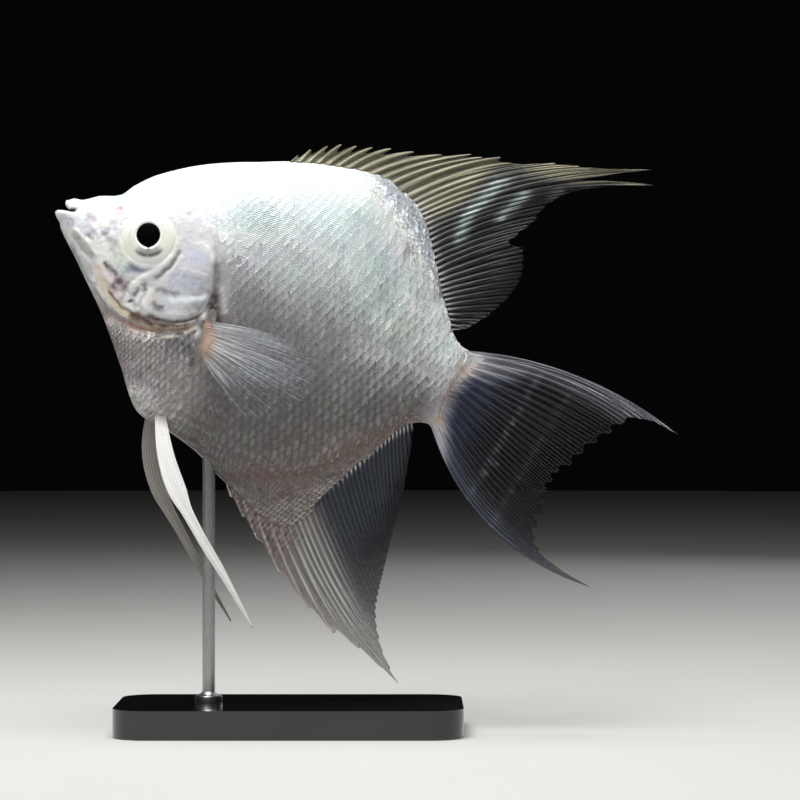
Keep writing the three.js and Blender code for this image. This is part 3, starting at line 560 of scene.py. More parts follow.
def skin_colour(x, z):
    """The fish's markings, the same for the skin and for the scales over it, with painted light and shade
    among them.
    """
    colours = angelfish_colours()
    shades = np.array([
        colours.belly, colours.low_flank, colours.flank, colours.high_flank, colours.back,
    ])
    # From belly to back the colour runs from dark grey to near white: partly the fish's own
    # counter-shading, partly painted shade low on the body and painted light on the back.
    stops = (-1.05, -0.5, -0.08, 0.4, 0.8)
    height = height_share(x, z) + 0.05 * ripple(x, z, 9, 11)
    colour = np.stack([np.interp(height, stops, channel) for channel in shades.T], -1)
    # The forehead takes the back's near white, which is partly painted light from above.
    forward = 1 - step(x, 12, 34)
    colour = tint(colour, colours.back, forward * step(z, 2, 9) * 0.9)
    colour = tint(colour, (0.95, 0.955, 0.97), (1 - step(x, 25, 31)) * step(z, -15, -10) * 0.85)
    chin = (1 - step(x, 4, 12)) * (1 - step(z + 0.36 * x, -5, -2))
    colour = tint(colour, (0.72, 0.72, 0.71), chin * 0.7)
    low_back = step(x, 44, 60) * step(-z - 21 + (x - 44) * 0.35, -3, 5)
    colour = tint(colour, colours.anal_sheath, low_back * 0.85)
    crease, _ = to_line(x, z, [(42, -30.2), (50, -28.6), (57, -24.6), (63, -17.4), (70, -8.6)])
    colour = tint(colour, (0.5, 0.36, 0.31), 0.5 * ridge(crease, 0, 1.1) * step(x, 42, 47))
    over = step(z - back(x), -1.6, 1.8) * step(x, 40, 50)
    colour = tint(colour, colours.dorsal_sheath, over * 0.9)
    colour = stalk_colour(colour, x, z)
    breast = step(-z - 12 - (x - 14) * 0.1, 0, 3) * (1 - step(x, 30, 38))
    colour = tint(colour, (0.83, 0.79, 0.78), breast * 0.5)
    # Painted shade: a broad darker grey band just behind the gill opening.
    cleft, _ = to_line(x, z, [(29.6, 2), (31, -2), (32.4, -6), (33.6, -9.5), (32.6, -13)])
    colour = tint(colour, (0.5, 0.47, 0.46), 0.25 * ridge(cleft, 0.8, 2.2))
    crest, _ = to_line(x, z, [(44, 25.4), (50, 24), (54, 21.6), (59, 17.4), (64.4, 12.6), (69, 8)])
    pale = (0.8 - 0.6 * step(x, 58, 66)) * ridge(crest, 0, 3) * (z < back(x) + 0.4)
    colour = tint(colour, (0.96, 0.94, 0.92), pale)
    for line, strength in ((LATERAL_LINE, 0.6), (LOWER_LINE, 0.25)):
        colour = tint(colour, WHITE, strength * bump_line(x, z, line, 1.1))
    body_x = x
    x = x - profile_shift(x)
    cheek = cheek_share(x, z)
    wx, wz = wandering(x, z)
    snout = (1 - step(x, 12, 15)) * step(x, 0.5, 2) * step(z + 0.36 * x, -2.4, -0.6)
    colour = tint(colour, (0.985, 0.985, 0.99), snout * 0.95)
    lilac = snout * step(ripple(x, z, 2.6, 63), -0.1, 0.6) * step(5 - z, 0, 3)
    colour = tint(colour, (0.7, 0.71, 0.79), lilac * 0.8)
    colour = tint(colour, WHITE, cheek * step(ripple(x, z, 2.6, 61), -0.1, 0.5) * 0.85)
    colour = tint(colour, (0.62, 0.61, 0.65), cheek * step(ripple(x, z, 2.2, 62), 0.3, 0.8) * 0.5)
    # Painted shade in the creases between the cheek's small bulges.
    colour = tint(colour, (0.4, 0.38, 0.39), creases(wx, wz) * 0.4)
    shimmer = ripple(x, z, 2.2, 21)
    colour = colour * (1 + 0.035 * shimmer[..., None] * np.array((1, 0.95, 0.9)))
    for cx, cz, rx, rz, patch, strength in SOFT_PATCHES:
        colour = tint(colour, patch, blot(x, z, cx, cz, rx, rz) * strength)
    # The face's lines: markings, with painted highlights on raised folds and painted shade in grooves.
    for _, width, line_colour, strength, points in FACE_LINES:
        line = bump_line(wx, wz, points, width * 1.1) * (1.05 + 0.35 * ripple(x, z, 1.3, 76))
        colour = tint(colour, line_colour, np.clip(strength * line, 0, 1))
    outside, along = to_line(x, z, COVER_EDGE)
    rim = ridge(outside, -0.15, 0.22) * step(along, 0.1, 0.2) * (1 - step(along, 0.85, 1))
    colour = tint(colour, PALE, rim * 0.7)
    nostril = blot(x, z, NOSTRIL["x"], NOSTRIL["z"], NOSTRIL["radius"], NOSTRIL["radius"])
    colour = tint(colour, (0.8, 0.64, 0.66), nostril * 0.6)
    near_eye = 1 - step(eye_distance(body_x, z), EYE["rim"] + 0.1, EYE["rim"] + 1.3)
    colour = tint(colour, iris_colour(body_x, z), near_eye)
    # Painted shade in the cleft of the closed mouth.
    inside = ridge(z, mouth_level(x), 0.2) * (1 - step(x, 2.1, 2.7))
    colour = tint(colour, (0.3, 0.27, 0.28), inside * 0.8)
    colour = tint(colour, (0.16, 0.17, 0.23), tail_web_share(x, z) * 0.9)
    return np.clip(colour, 0, 1)


# ------------------------ meshes

def angelfish_sizes():
    """The sizes that the sidebar's panel shows."""
    return bpy.context.scene.angelfish_sizes


def angelfish_colours():
    """The colours that the sidebar's panel shows."""
    return bpy.context.scene.angelfish_colours


def new_object(name, data):
    """An object of the scene that shows a mesh, lamp or camera."""
    thing = bpy.data.objects.new(name, data)
    bpy.context.scene.collection.objects.link(thing)
    return thing


def mesh_of(name, points, faces, values=None, colours=None, weld=0.0, solid=True):
    """An object of points in the model's frame, with numbers and colours kept at its points.

    Points closer together than weld become one, and a solid's faces are turned outward."""
    mesh = bpy.data.meshes.new(name)
    mesh.from_pydata(np.asarray(points).tolist(), [], np.asarray(faces).tolist())
    for key, value in (values or {}).items():
        attribute = mesh.attributes.new(key, "FLOAT", "POINT")
        attribute.data.foreach_set("value", np.asarray(value, np.float32).ravel())
    if colours is not None:
        light = linear(colours).reshape(-1, 3)
        paint = mesh.attributes.new("colour", "FLOAT_COLOR", "POINT")
        paint.data.foreach_set("color", np.insert(light, 3, 1.0, axis=1).astype(np.float32).ravel())
    if solid:
        shape = bmesh.new()
        shape.from_mesh(mesh)
        if weld:
            bmesh.ops.remove_doubles(shape, verts=shape.verts, dist=weld)
            bmesh.ops.dissolve_degenerate(shape, edges=shape.edges, dist=weld)
        bmesh.ops.recalc_face_normals(shape, faces=shape.faces)
        shape.to_mesh(mesh)
        shape.free()
    mesh.shade_smooth()
    return new_object(name, mesh)


def grid_faces(columns, rows, closed=False, flip=False):
    """Faces of a net of columns by rows of points, its rows closed into rings or not."""
    steps = rows if closed else rows - 1
    c, r = np.meshgrid(np.arange(columns - 1), np.arange(steps), indexing="ij")
    after = (r + 1) % rows
    corners = [c * rows + r, (c + 1) * rows + r, (c + 1) * rows + after, c * rows + after]
    faces = np.stack(corners, -1).reshape(-1, 4)
    return faces[:, ::-1] if flip else faces


def grid_rim(columns, rows):
    """The points round the edge of a net, in order."""
    return np.concatenate([
        np.arange(columns) * rows,
        (columns - 1) * rows + np.arange(1, rows),
        np.arange(columns - 2, -1, -1) * rows + rows - 1,
        np.arange(rows - 2, 0, -1),
    ])


def ride_root(piece, slot, *nodes):
    """Puts a piece on the root body and hides the nodes of the solid model that it replaces. Its slot is
    not used.
    """
    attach(piece, "root")
    if nodes:
        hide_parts(*nodes)
    return piece


# ------------------------ finishes

class Finish:
    """A material that is built up from nodes."""

    def __init__(self, name, **values):
        self.material = bpy.data.materials.new(name)
        self.material.use_nodes = True
        self.nodes = self.material.node_tree.nodes
        self.links = self.material.node_tree.links
        self.shader = self.nodes["Principled BSDF"]
        for socket, value in values.items():
            self.shader.inputs[socket.replace("_", " ")].default_value = value

    def add(self, kind, settings=(), **inputs):
        """A new node. Inputs go by their names, or by i and their number where names repeat."""
        node = self.nodes.new("ShaderNode" + kind)
        for key, value in dict(settings).items():
            setattr(node, key, value)
        for key, value in inputs.items():
            numbered = key[0] == "i" and key[1:].isdigit()
            socket = node.inputs[int(key[1:]) if numbered else key]
            if isinstance(value, bpy.types.NodeSocket):
                self.links.new(value, socket)
            else:
                socket.default_value = value
        return node

    def to(self, output, socket):
        """Links an output to a socket of the shader."""
        self.links.new(output, self.shader.inputs[socket])

    def places(self, stretch=(1, 1, 1)):
        """Places on the piece, stretched along its axes."""
        coordinates = self.add("TexCoord").outputs["Object"]
        return self.add("Mapping", Vector=coordinates, Scale=stretch).outputs["Vector"]

    def noise(self, size, detail=3.0, places=None):
        """Unevenness from 0 to 1 with features of a size in metres."""
        places = places or self.places()
        node = self.add("TexNoise", Vector=places, Scale=1 / size, Detail=detail, Roughness=0.55)
        return node.outputs["Fac"]

    def kept(self, name, kind="Fac"):
        """What the piece keeps at its points under a name."""
        return self.add("Attribute", {"attribute_name": name}).outputs[kind]

    def range(self, value, low, high, to_low=0, to_high=1):
        """A value between low and high as one between to_low and to_high."""
        ends = {"From Min": low, "From Max": high, "To Min": to_low, "To Max": to_high}
        return self.add("MapRange", Value=value, **ends).outputs["Result"]

    def smooth(self, value, low, high, to_low, to_high):
        """The same as range, with soft ends."""
        result = self.range(value, low, high, to_low, to_high)
        result.node.interpolation_type = "SMOOTHSTEP"
        return result

    def maths(self, operation, a, b=0.0):
        return self.add("Math", {"operation": operation}, i0=a, i1=b).outputs[0]

    def times(self, a, b):
        return self.maths("MULTIPLY", a, b)

    def waves(self, value, length):
        """Waves between -1 and 1, one for each length of a value."""
        return self.maths("SINE", self.times(value, 2 * math.pi / length))

    def blend(self, a, b, share, mode="MIX"):
        """A colour from a to b by share, each a link or red, green and blue."""
        a, b = (c if isinstance(c, bpy.types.NodeSocket) else (*c, 1) for c in (a, b))
        settings = {"data_type": "RGBA", "blend_type": mode}
        return self.add("Mix", settings, i0=share, i6=a, i7=b).outputs[2]

    def darken(self, colour, by, share=1.0):
        """A colour multiplied by another one, by share."""
        return self.blend(colour, by, share, "MULTIPLY")

    def rough(self, value, low, high):
        """Roughness from low to high, by a value from 0.3 to 0.7."""
        self.to(self.range(value, 0.3, 0.7, low, high), "Roughness")

    def bumps(self, *heights):
        """Adds bumps, each a height from 0 to 1 and how deep it is in metres."""
        normal = None
        for height, depth in heights:
            node = self.add("Bump", Height=height, Distance=depth, Strength=1.0)
            if normal is not None:
                self.links.new(normal, node.inputs["Normal"])
            normal = node.outputs["Normal"]
        self.to(normal, "Normal")


def skin_finish():
    """Wet silver skin, crumpled like foil on the face."""
    finish = Finish(
        "wet silver skin", Metallic=0.12, Coat_Weight=0.35, Coat_Roughness=0.18, IOR=1.42,
    )
    grain = finish.noise(0.0011, 4)
    fleck = finish.noise(0.00035, 2)
    paint = finish.kept("colour", "Color")
    light = finish.blend(paint, (1, 1, 1), finish.range(grain, 0.45, 0.75, 0, 0.16))
    deep = finish.blend(light, (0.42, 0.36, 0.34), finish.range(fleck, 0.58, 0.8, 0, 0.16))
    finish.to(deep, "Base Color")
    foil = finish.kept("foil")
    finish.to(finish.range(foil, 0, 1, 0.12, 0.03), "Metallic")
    dull = finish.range(grain, 0.3, 0.7, 0.32, 0.46)
    finish.to(finish.maths("SUBTRACT", dull, finish.times(foil, 0.1)), "Roughness")
    pores = finish.add("TexVoronoi", Vector=finish.places(), Scale=1 / 0.0005).outputs["Distance"]
    dents = finish.times(finish.noise(0.0019), foil)
    finish.bumps((grain, 0.00006), (pores, 0.00002), (fleck, 0.00002), (dents, 0.00022))
    return finish.material


def scale_finish():
    """Silver scales, with painted shade, partly pigment, where they start and a painted highlight along
    their free edges.
    """
    finish = Finish(
        "silver scales", Metallic=0.35, Coat_Weight=0.3, Coat_Roughness=0.14, IOR=1.5,
    )
    paint = finish.kept("colour", "Color")
    along = finish.kept("along")
    across = finish.kept("across")
    contrast = finish.kept("contrast")
    grain = finish.noise(0.0022)
    sheared = finish.maths("ADD", along, finish.times(across, finish.kept("slant")))
    ends = finish.maths("POWER", finish.maths("ABSOLUTE", across), 2.0)
    # Painted shade, partly pigment: dark where the scale in front ends and towards the sides of the free
    # edge.
    root = finish.times(finish.smooth(sheared, 0.34, 0.78, 1, 0), finish.smooth(ends, 0.1, 0.7, 1, 0.3))
    depth = finish.maths("MAXIMUM", root, finish.smooth(ends, 0.15, 0.7, 0, 0.3))
    depth = finish.times(finish.times(depth, contrast), 0.85)
    deep = finish.darken(paint, (0.5, 0.47, 0.46), depth)
    # Painted highlight: bright along the middle of the free edge.
    painted_glint = finish.times(
        finish.smooth(sheared, 0.5, 0.8, 0, 0.44), finish.smooth(ends, 0.02, 0.4, 1, 0),
    )
    painted_glint = finish.times(painted_glint, finish.range(contrast, 0, 0.8, 0.05, 1))
    painted_glint = finish.times(painted_glint, finish.range(grain, 0.35, 0.65, 0.2, 1))
    bright = finish.blend(deep, (1, 1, 1), painted_glint)
    pearl = finish.range(finish.noise(0.006, 2), 0.35, 0.65)
    toned = finish.darken(bright, finish.blend((0.93, 1, 0.98), (0.98, 0.96, 1.03), pearl))
    speck = finish.range(finish.noise(0.00032), 0.34, 0.66)
    speck = finish.blend((0.8, 0.79, 0.79), (1.12, 1.12, 1.12), speck)
    specked = finish.darken(toned, speck, finish.range(contrast, 0, 0.6, 0.25, 1))
    # Painted glitter: bright and dark specks on scales that glitter, standing in for single scales catching
    # the light.
    spark = finish.range(finish.noise(0.00045, 2), 0.4, 0.6)
    spark = finish.blend((0.52, 0.52, 0.56), (1.6, 1.6, 1.6), spark)
    sparked = finish.darken(specked, spark, finish.times(finish.kept("glitter"), 0.7))
    finish.to(sparked, "Base Color")
    finish.rough(grain, 0.26, 0.42)
    rings = finish.maths("SINE", finish.times(along, 70.0))
    rays = finish.maths("SINE", finish.times(across, 34.0))
    finish.bumps((rings, 0.000006), (rays, 0.00001), (finish.noise(0.0003, 2), 0.00002))
    return finish.material


def fin_finish(
    name, web_cover, edge_cover, ray_cover=1.0, jointed_by=0.3, wispy=False, fibrous=1.0,
):
    """A fin: pale jointed rays, which hide what is behind, in a thinner web."""
    finish = Finish(name, Coat_Weight=0.12, Coat_Roughness=0.2, IOR=1.4)
    paint = finish.kept("colour", "Color")
    ray = finish.kept("ray")
    along = finish.kept("along")
    outward = finish.kept("outward")
    grain = finish.noise(0.0007, 4)
    fibres = finish.add(
        "CombineXYZ", X=finish.times(finish.kept("number"), 5.0), Y=finish.times(along, 0.12),
    )
    streak = finish.noise(1.0, 3, fibres.outputs[0])
    tone = finish.blend((0.42, 0.42, 0.44), (1.3, 1.3, 1.3), finish.range(streak, 0.32, 0.68))
    paint = finish.darken(paint, tone, fibrous)
    web = finish.darken(paint, (0.25, 0.27, 0.33), finish.range(grain, 0.4, 0.8, 0, 0.35))
    joints = finish.waves(along, 0.62)
    at_joint = finish.times(finish.range(joints, 0.8, 1, 0, jointed_by), ray)
    jointed = finish.darken(finish.blend(web, paint, ray), (0.3, 0.28, 0.26), at_joint)
    finish.to(jointed, "Base Color")
    cover = finish.range(outward, 0.2, 1, web_cover, edge_cover)
    cover = finish.maths("ADD", cover, finish.range(grain, 0.3, 0.7, -0.08, 0.08))
    shown = finish.range(outward, 0.15, 0.95, ray_cover, ray_cover * (0.1 if wispy else 1))
    shown = finish.times(finish.range(ray, 0.1, 0.8), shown)
    cover = finish.maths("MAXIMUM", shown, cover)
    if wispy:
        cover = finish.times(cover, finish.range(streak, 0.36, 0.62, 0.3, 1.25))
    finish.to(cover, "Alpha")
    finish.rough(grain, 0.32, 0.5)
    finish.bumps((joints, 0.000028 * jointed_by), (grain, 0.00003))
    return finish.material


def eye_finish():
    """The iris, ringed like a tree, the black pupil and the painted shadow under it."""
    finish = Finish(
        "clear polished eye", Roughness=0.2, Coat_Weight=0.7, Coat_Roughness=0.05, IOR=1.4,
    )
    paint = finish.kept("colour", "Color")
    out = finish.kept("out")
    in_iris = finish.range(out, 2.4, 2.6)
    rings = finish.times(finish.range(finish.waves(out, 0.42), 0.2, 1, 0, 0.025), in_iris)
    cream = finish.blend(paint, (0.45, 0.43, 0.35), rings)
    grain = finish.noise(0.0008, 4)
    fleck = finish.times(finish.range(grain, 0.5, 0.8, 0, 0.35), in_iris)
    finish.to(finish.blend(cream, (0.98, 0.96, 0.86), fleck), "Base Color")
    finish.bumps((finish.times(grain, in_iris), 0.00004))
    return finish.material


# ------------------------ scales

# Where scales lie on the unwrap: how much of its height a millimetre of girth takes up, how much
# of its width a flank does, the gap between the flanks, and the patch of a scale.
UNWRAP_HEIGHT = 0.0105
UNWRAP_WIDTH = 0.47
UNWRAP_GAP = 0.01
PATCH_SIZE = 0.003

COAT_SEED = 7
COAT_START, COAT_END = 11, 79.4


def scale_shape():
    """One scale, a thin closed fan on a spacing of 1, its free edge towards +x and +z outward."""
    rows, columns = 5, 7
    # How far the root, the tip and the free edge's corners lie from the middle, and half a width.
    root, middle, corner, wide = -0.5, 1.02, 0.5, 1.06
    points, along, across = [], [], []
    for sink in (0.0, -0.04):
        for i in range(rows):
            s = (i / (rows - 1)) ** 0.8
            for j in range(columns):
                v = 2 * j / (columns - 1) - 1
                edge = corner + (middle - corner) * (1 - abs(v) ** 1.7)
                back_edge = root * (1 - 0.75 * v * v)
                on_rim = i in (0, rows - 1) or j in (0, columns - 1)
                rise = -0.08 + 0.17 * s - 0.03 * v * v
                points.append((
                    back_edge + (edge - back_edge) * s,
                    wide * v,
                    rise + sink * (0.35 if on_rim else 1),
                ))
                along.append(s)
                across.append(v)
    per_layer = rows * columns
    faces = [tuple(f) for f in grid_faces(rows, columns)]
    faces += [tuple(per_layer + k for k in reversed(f)) for f in grid_faces(rows, columns)]
    ring = np.roll(grid_rim(rows, columns)[::-1], 1).tolist()
    for a, b in zip(ring, ring[1:] + ring[:1]):
        faces.append((a, b, b + per_layer, a + per_layer))
    thing = mesh_of("scale_shape", points, faces, {"along": along, "across": across})
    thing.data.set_sharp_from_angle(angle=math.radians(50))
    patch = thing.data.attributes.new("patch", "FLOAT_VECTOR", "POINT")
    # The middle of a scale lies at 0.26, and its patch is about as wide as it is long.
    local = [((x - 0.26) * 0.65, y * 0.45, 0) for x, y, _ in points]
    patch.data.foreach_set("vector", np.array(local, np.float32).ravel())
    return thing


def coat_tree(material):
    """Geometry nodes that set a scale on every root, join them and lay out their bake patches."""
    tree = bpy.data.node_groups.new("Scale coat", "GeometryNodeTree")
    for name, way, kind in (
        ("Roots", "INPUT", "Geometry"),
        ("Scale shape", "INPUT", "Object"),
        ("Unevenness", "INPUT", "Float"),
        ("Patch size", "INPUT", "Float"),
        ("Seed", "INPUT", "Int"),
        ("Coat", "OUTPUT", "Geometry"),
    ):
        tree.interface.new_socket(name=name, in_out=way, socket_type="NodeSocket" + kind)

    def node(kind, inputs, output="Geometry", **settings):
        """A new node's output. Inputs are values or links, by their names or numbers."""
        new = tree.nodes.new(kind)
        for key, value in settings.items():
            setattr(new, key, value)
        for key, value in inputs.items():
            if isinstance(value, bpy.types.NodeSocket):
                tree.links.new(value, new.inputs[key])
            else:
                new.inputs[key].default_value = value
        return new.outputs[output]

    def named(attribute, kind="FLOAT_VECTOR"):
        inputs = {"Name": attribute}
        return node("GeometryNodeInputNamedAttribute", inputs, "Attribute", data_type=kind)

    def maths(operation, a, b):
        return node("ShaderNodeMath", {0: a, 1: b}, "Value", operation=operation)

    def vector_maths(operation, a, b):
        second = "Scale" if operation == "SCALE" else 1
        return node("ShaderNodeVectorMath", {0: a, second: b}, "Vector", operation=operation)

    given = tree.nodes.new("NodeGroupInput").outputs
    result = tree.nodes.new("NodeGroupOutput")
    shape = node("GeometryNodeObjectInfo", {"Object": given["Scale shape"]})
    low = maths("SUBTRACT", 1.0, given["Unevenness"])
    high = maths("ADD", 1.0, given["Unevenness"])
    ends = {0: low, 1: high, "Seed": given["Seed"]}
    uneven = node("FunctionNodeRandomValue", ends, 0, data_type="FLOAT_VECTOR")
    scales = node("GeometryNodeInstanceOnPoints", {
        "Points": given["Roots"],
        "Instance": shape,
        "Rotation": named("turn", "QUATERNION"),
        "Scale": vector_maths("MULTIPLY", named("size"), uneven),
    }, "Instances")
    coat = node("GeometryNodeRealizeInstances", {"Geometry": scales})
    squared = maths("POWER", named("across", "FLOAT"), 2.0)
    curl = vector_maths("SCALE", named("bend"), squared)
    coat = node("GeometryNodeSetPosition", {"Geometry": coat, "Offset": curl})
    patch = vector_maths("SCALE", named("patch"), given["Patch size"])
    laid = vector_maths("ADD", named("root_place"), patch)
    coat = node(
        "GeometryNodeStoreNamedAttribute", {"Geometry": coat, "Name": "OFBake", "Value": laid},
        data_type="FLOAT2", domain="CORNER",
    )
    coat = node("GeometryNodeSetMaterial", {"Geometry": coat, "Material": material})
    tree.links.new(coat, result.inputs["Coat"])
    return tree


def scale_spacing(x, z):
    """The spacing that scales have along a row, smaller near edges, on the nape and the breast."""
    level = widest_level(x)
    inward = np.where(z > level, back(x) - z, z - belly(x))
    rear_edge = step(x, 50, 58) * (1 - step(x, 64, 69)) * (z > level) * step(inward, -0.5, 0.5)
    size = mix(mix(0.5, 0.82, rear_edge), 1.0, step(inward, 0, 6))
    size = np.minimum(size, mix(0.55, 1.0, step(x, 20, 36)))
    size = np.minimum(size, mix(1.0, 0.6, step(x, 66, 76)))
    return size * angelfish_sizes().scale_spacing / MM


def prominence(x, z):
    """How much scales stand out: little on the nape, back and belly, most on the rear flank."""
    up = height_share(x, z)
    front = straight(
        (-1, 0.2), (-0.6, 0.12), (-0.2, 0.2), (0.1, 0.46), (0.35, 0.36), (0.7, 0.16), (1, 0.1),
    )
    rear = straight((-1, 0.28), (-0.6, 0.24), (-0.2, 0.42), (0, 0.8), (0.6, 1.1), (0.9, 1))
    share = mix(front(up), rear(up), step(x, 44, 64))
    share = mix(share, 0.06, (1 - step(x, 25, 40)) * step(z, -2, 6))
    share = mix(share, 0.8, (1 - step(x, 27, 35)) * step(-z, 11, 14))
    calm = np.maximum(step(x, 40, 46) * (1 - step(x, 52, 60)), step(x, 63, 67))
    share = mix(share, 0.1, step(up, 0.8, 0.95) * calm)
    share = mix(share, 0.1, step(-up, 0.9, 1) * step(x, 40, 46))
    return mix(share, 0.7, np.maximum(step(up, 1.05, 1.15), step(-up, 1.1, 1.25)))


def glitter(x, z):
    """1 where single scales get painted glitter: on the fin sheaths and on the breast."""
    breast = (1 - step(x - 0.5 * (z + 14), 17, 30)) * step(-z, 11, 14)
    breast = breast * step(ripple(x, z, 3, 91), -0.6, 0.5)
    sheaths = np.maximum(step(z - back(x), -3.5, 1), 0.5 * step(belly(x) - z, 0.6, 1.6))
    return np.maximum(breast, step(x, 44, 50) * sheaths)


def has_scales(x, z):
    """Where scales grow: not on the bare face, the gill plates, the mouth or round the eye."""
    x = x - profile_shift(x)
    behind, _ = to_line(x, z, GILL_EDGE)
    on_body = (behind > 0.55) & (x > 12.5)
    nape_edge = through((11, 11), (15, 9.6), (20, 8.4), (25, 7.6), (28, 6.4), (31, 5))
    nape = (z > nape_edge(x)) & (x > 17)
    for line, apart in SLIT_LINES:
        on_body &= np.abs(to_line(x, z, line)[0]) > apart
    fan_root = np.hypot((x - 32.2) / 1.6, (z + 10.2) / 3) < 1
    x = x + profile_shift(x)
    inside = (z < top_edge(x) - 0.6) & (z > bottom_edge(x) + 0.6)
    return ((on_body & ~fan_root) | nape) & inside & (tail_web_share(x + 0.8, z) < 0.5) & (x < 77.6)


def lie_slope(x, z):
    """The rise along the body of the way that the scales lie."""
    up = height_share(x, z)
    rising = 0.75 * step(up, 0.8, 1.2) * step(x, 40, 56)
    falling = -1.3 * step(-up, 0.8, 1.3) * step(x, 42, 56)
    nape = 0.4 * step(up, 0.4, 1) * (1 - step(x, 20, 44))
    breast = -0.45 * step(-up, 0.2, 1) * (1 - step(x, 24, 44))
    return rising + falling + nape + breast


def scale_roots(spacing, others):
    """Roots of one size of scale on the right flank: places, turns, sizes and girth places."""
    sizes = angelfish_sizes()
    t = np.linspace(0, 1, 600)
    found = []
    for i, x in enumerate(np.arange(COAT_START, COAT_END, spacing / 2)):
        ring = flank(x, t, with_relief=False)
        girth = np.concatenate([[0], np.cumsum(np.hypot(*np.diff(ring[:, 1:], axis=0).T))])
        level_at = np.interp(-widest_level(x), -ring[:, 2], girth)
        tall = 2 * spacing * sizes.scale_height
        start = level_at % tall + (tall / 2 if i % 2 else 0) - tall
        marks = np.arange(start, girth[-1] + tall / 2, tall)
        marks = marks[(marks > -0.01) & (marks < girth[-1] + 0.01)]
        places = np.full(len(marks), x), np.interp(marks, girth, t), marks - level_at
        found.append(np.stack(places, -1))
    x, t, girth = np.concatenate(found).T
    draw = np.random.default_rng(int(spacing * 1000))
    x = x + draw.normal(0, 0.035 * spacing, len(x))
    place = flank(x, t)
    z = place[:, 2]
    wanted = np.log(scale_spacing(x, z))
    ladder = np.log(np.array(others))
    mine = np.abs(wanted[:, None] - ladder).argmin(1) == others.index(spacing)
    keep = mine & has_scales(x, z)
    x, t, girth, place, z = x[keep], t[keep], girth[keep], place[keep], z[keep]
    tall = sizes.scale_height * spacing
    tiny_x, tiny_t = 0.02, 0.002
    ahead = flank(x + tiny_x, t) - flank(x - tiny_x, t)
    low_t, high_t = np.clip(t - tiny_t, 0, 1), np.clip(t + tiny_t, 0, 1)
    down = flank(x, high_t) - flank(x, low_t)
    outward = np.cross(down, ahead)
    outward /= np.linalg.norm(outward, axis=1)[:, None]
    outward *= np.where(outward[:, 1] < -0.2, -1, 1)[:, None]
    # How far the skin curves away from a scale's plane at the scale's ends.
    rate = np.linalg.norm(down, axis=1) / (high_t - low_t)
    sag = np.zeros(len(x))
    for way in (-1, 1):
        end = flank(x, np.clip(t + way * 0.85 * tall / rate, 0, 1))
        sag -= np.sum((end - place) * outward, 1) / 2
    sag = np.clip(sag, -0.3 * tall, 0.75 * tall)
    lie = np.stack([np.ones(len(x)), np.zeros(len(x)), lie_slope(x, z)], -1)
    lie[:, 2] += draw.normal(0, 0.05, len(x))
    lie -= outward * np.sum(lie * outward, 1)[:, None]
    lie /= np.linalg.norm(lie, axis=1)[:, None]
    return {
        "x": x, "z": z, "girth": girth, "place": place, "lie": lie, "outward": outward, "sag": sag,
    }


def quaternions(ahead, outward):
    """Turns that bring +x to ahead and +z to outward."""
    aside = np.cross(outward, ahead)
    m = np.stack([ahead, aside, outward], -1)
    trace = m[:, 0, 0] + m[:, 1, 1] + m[:, 2, 2]
    q = np.empty((len(m), 4))
    q[:, 0] = np.sqrt(np.maximum(1 + trace, 0)) / 2
    for k, (a, b, c) in enumerate(((0, 1, 2), (1, 2, 0), (2, 0, 1))):
        size = np.sqrt(np.maximum(1 + m[:, a, a] - m[:, b, b] - m[:, c, c], 0)) / 2
        q[:, k + 1] = np.copysign(size, m[:, c, b] - m[:, b, c])
    return q / np.linalg.norm(q, axis=1)[:, None]


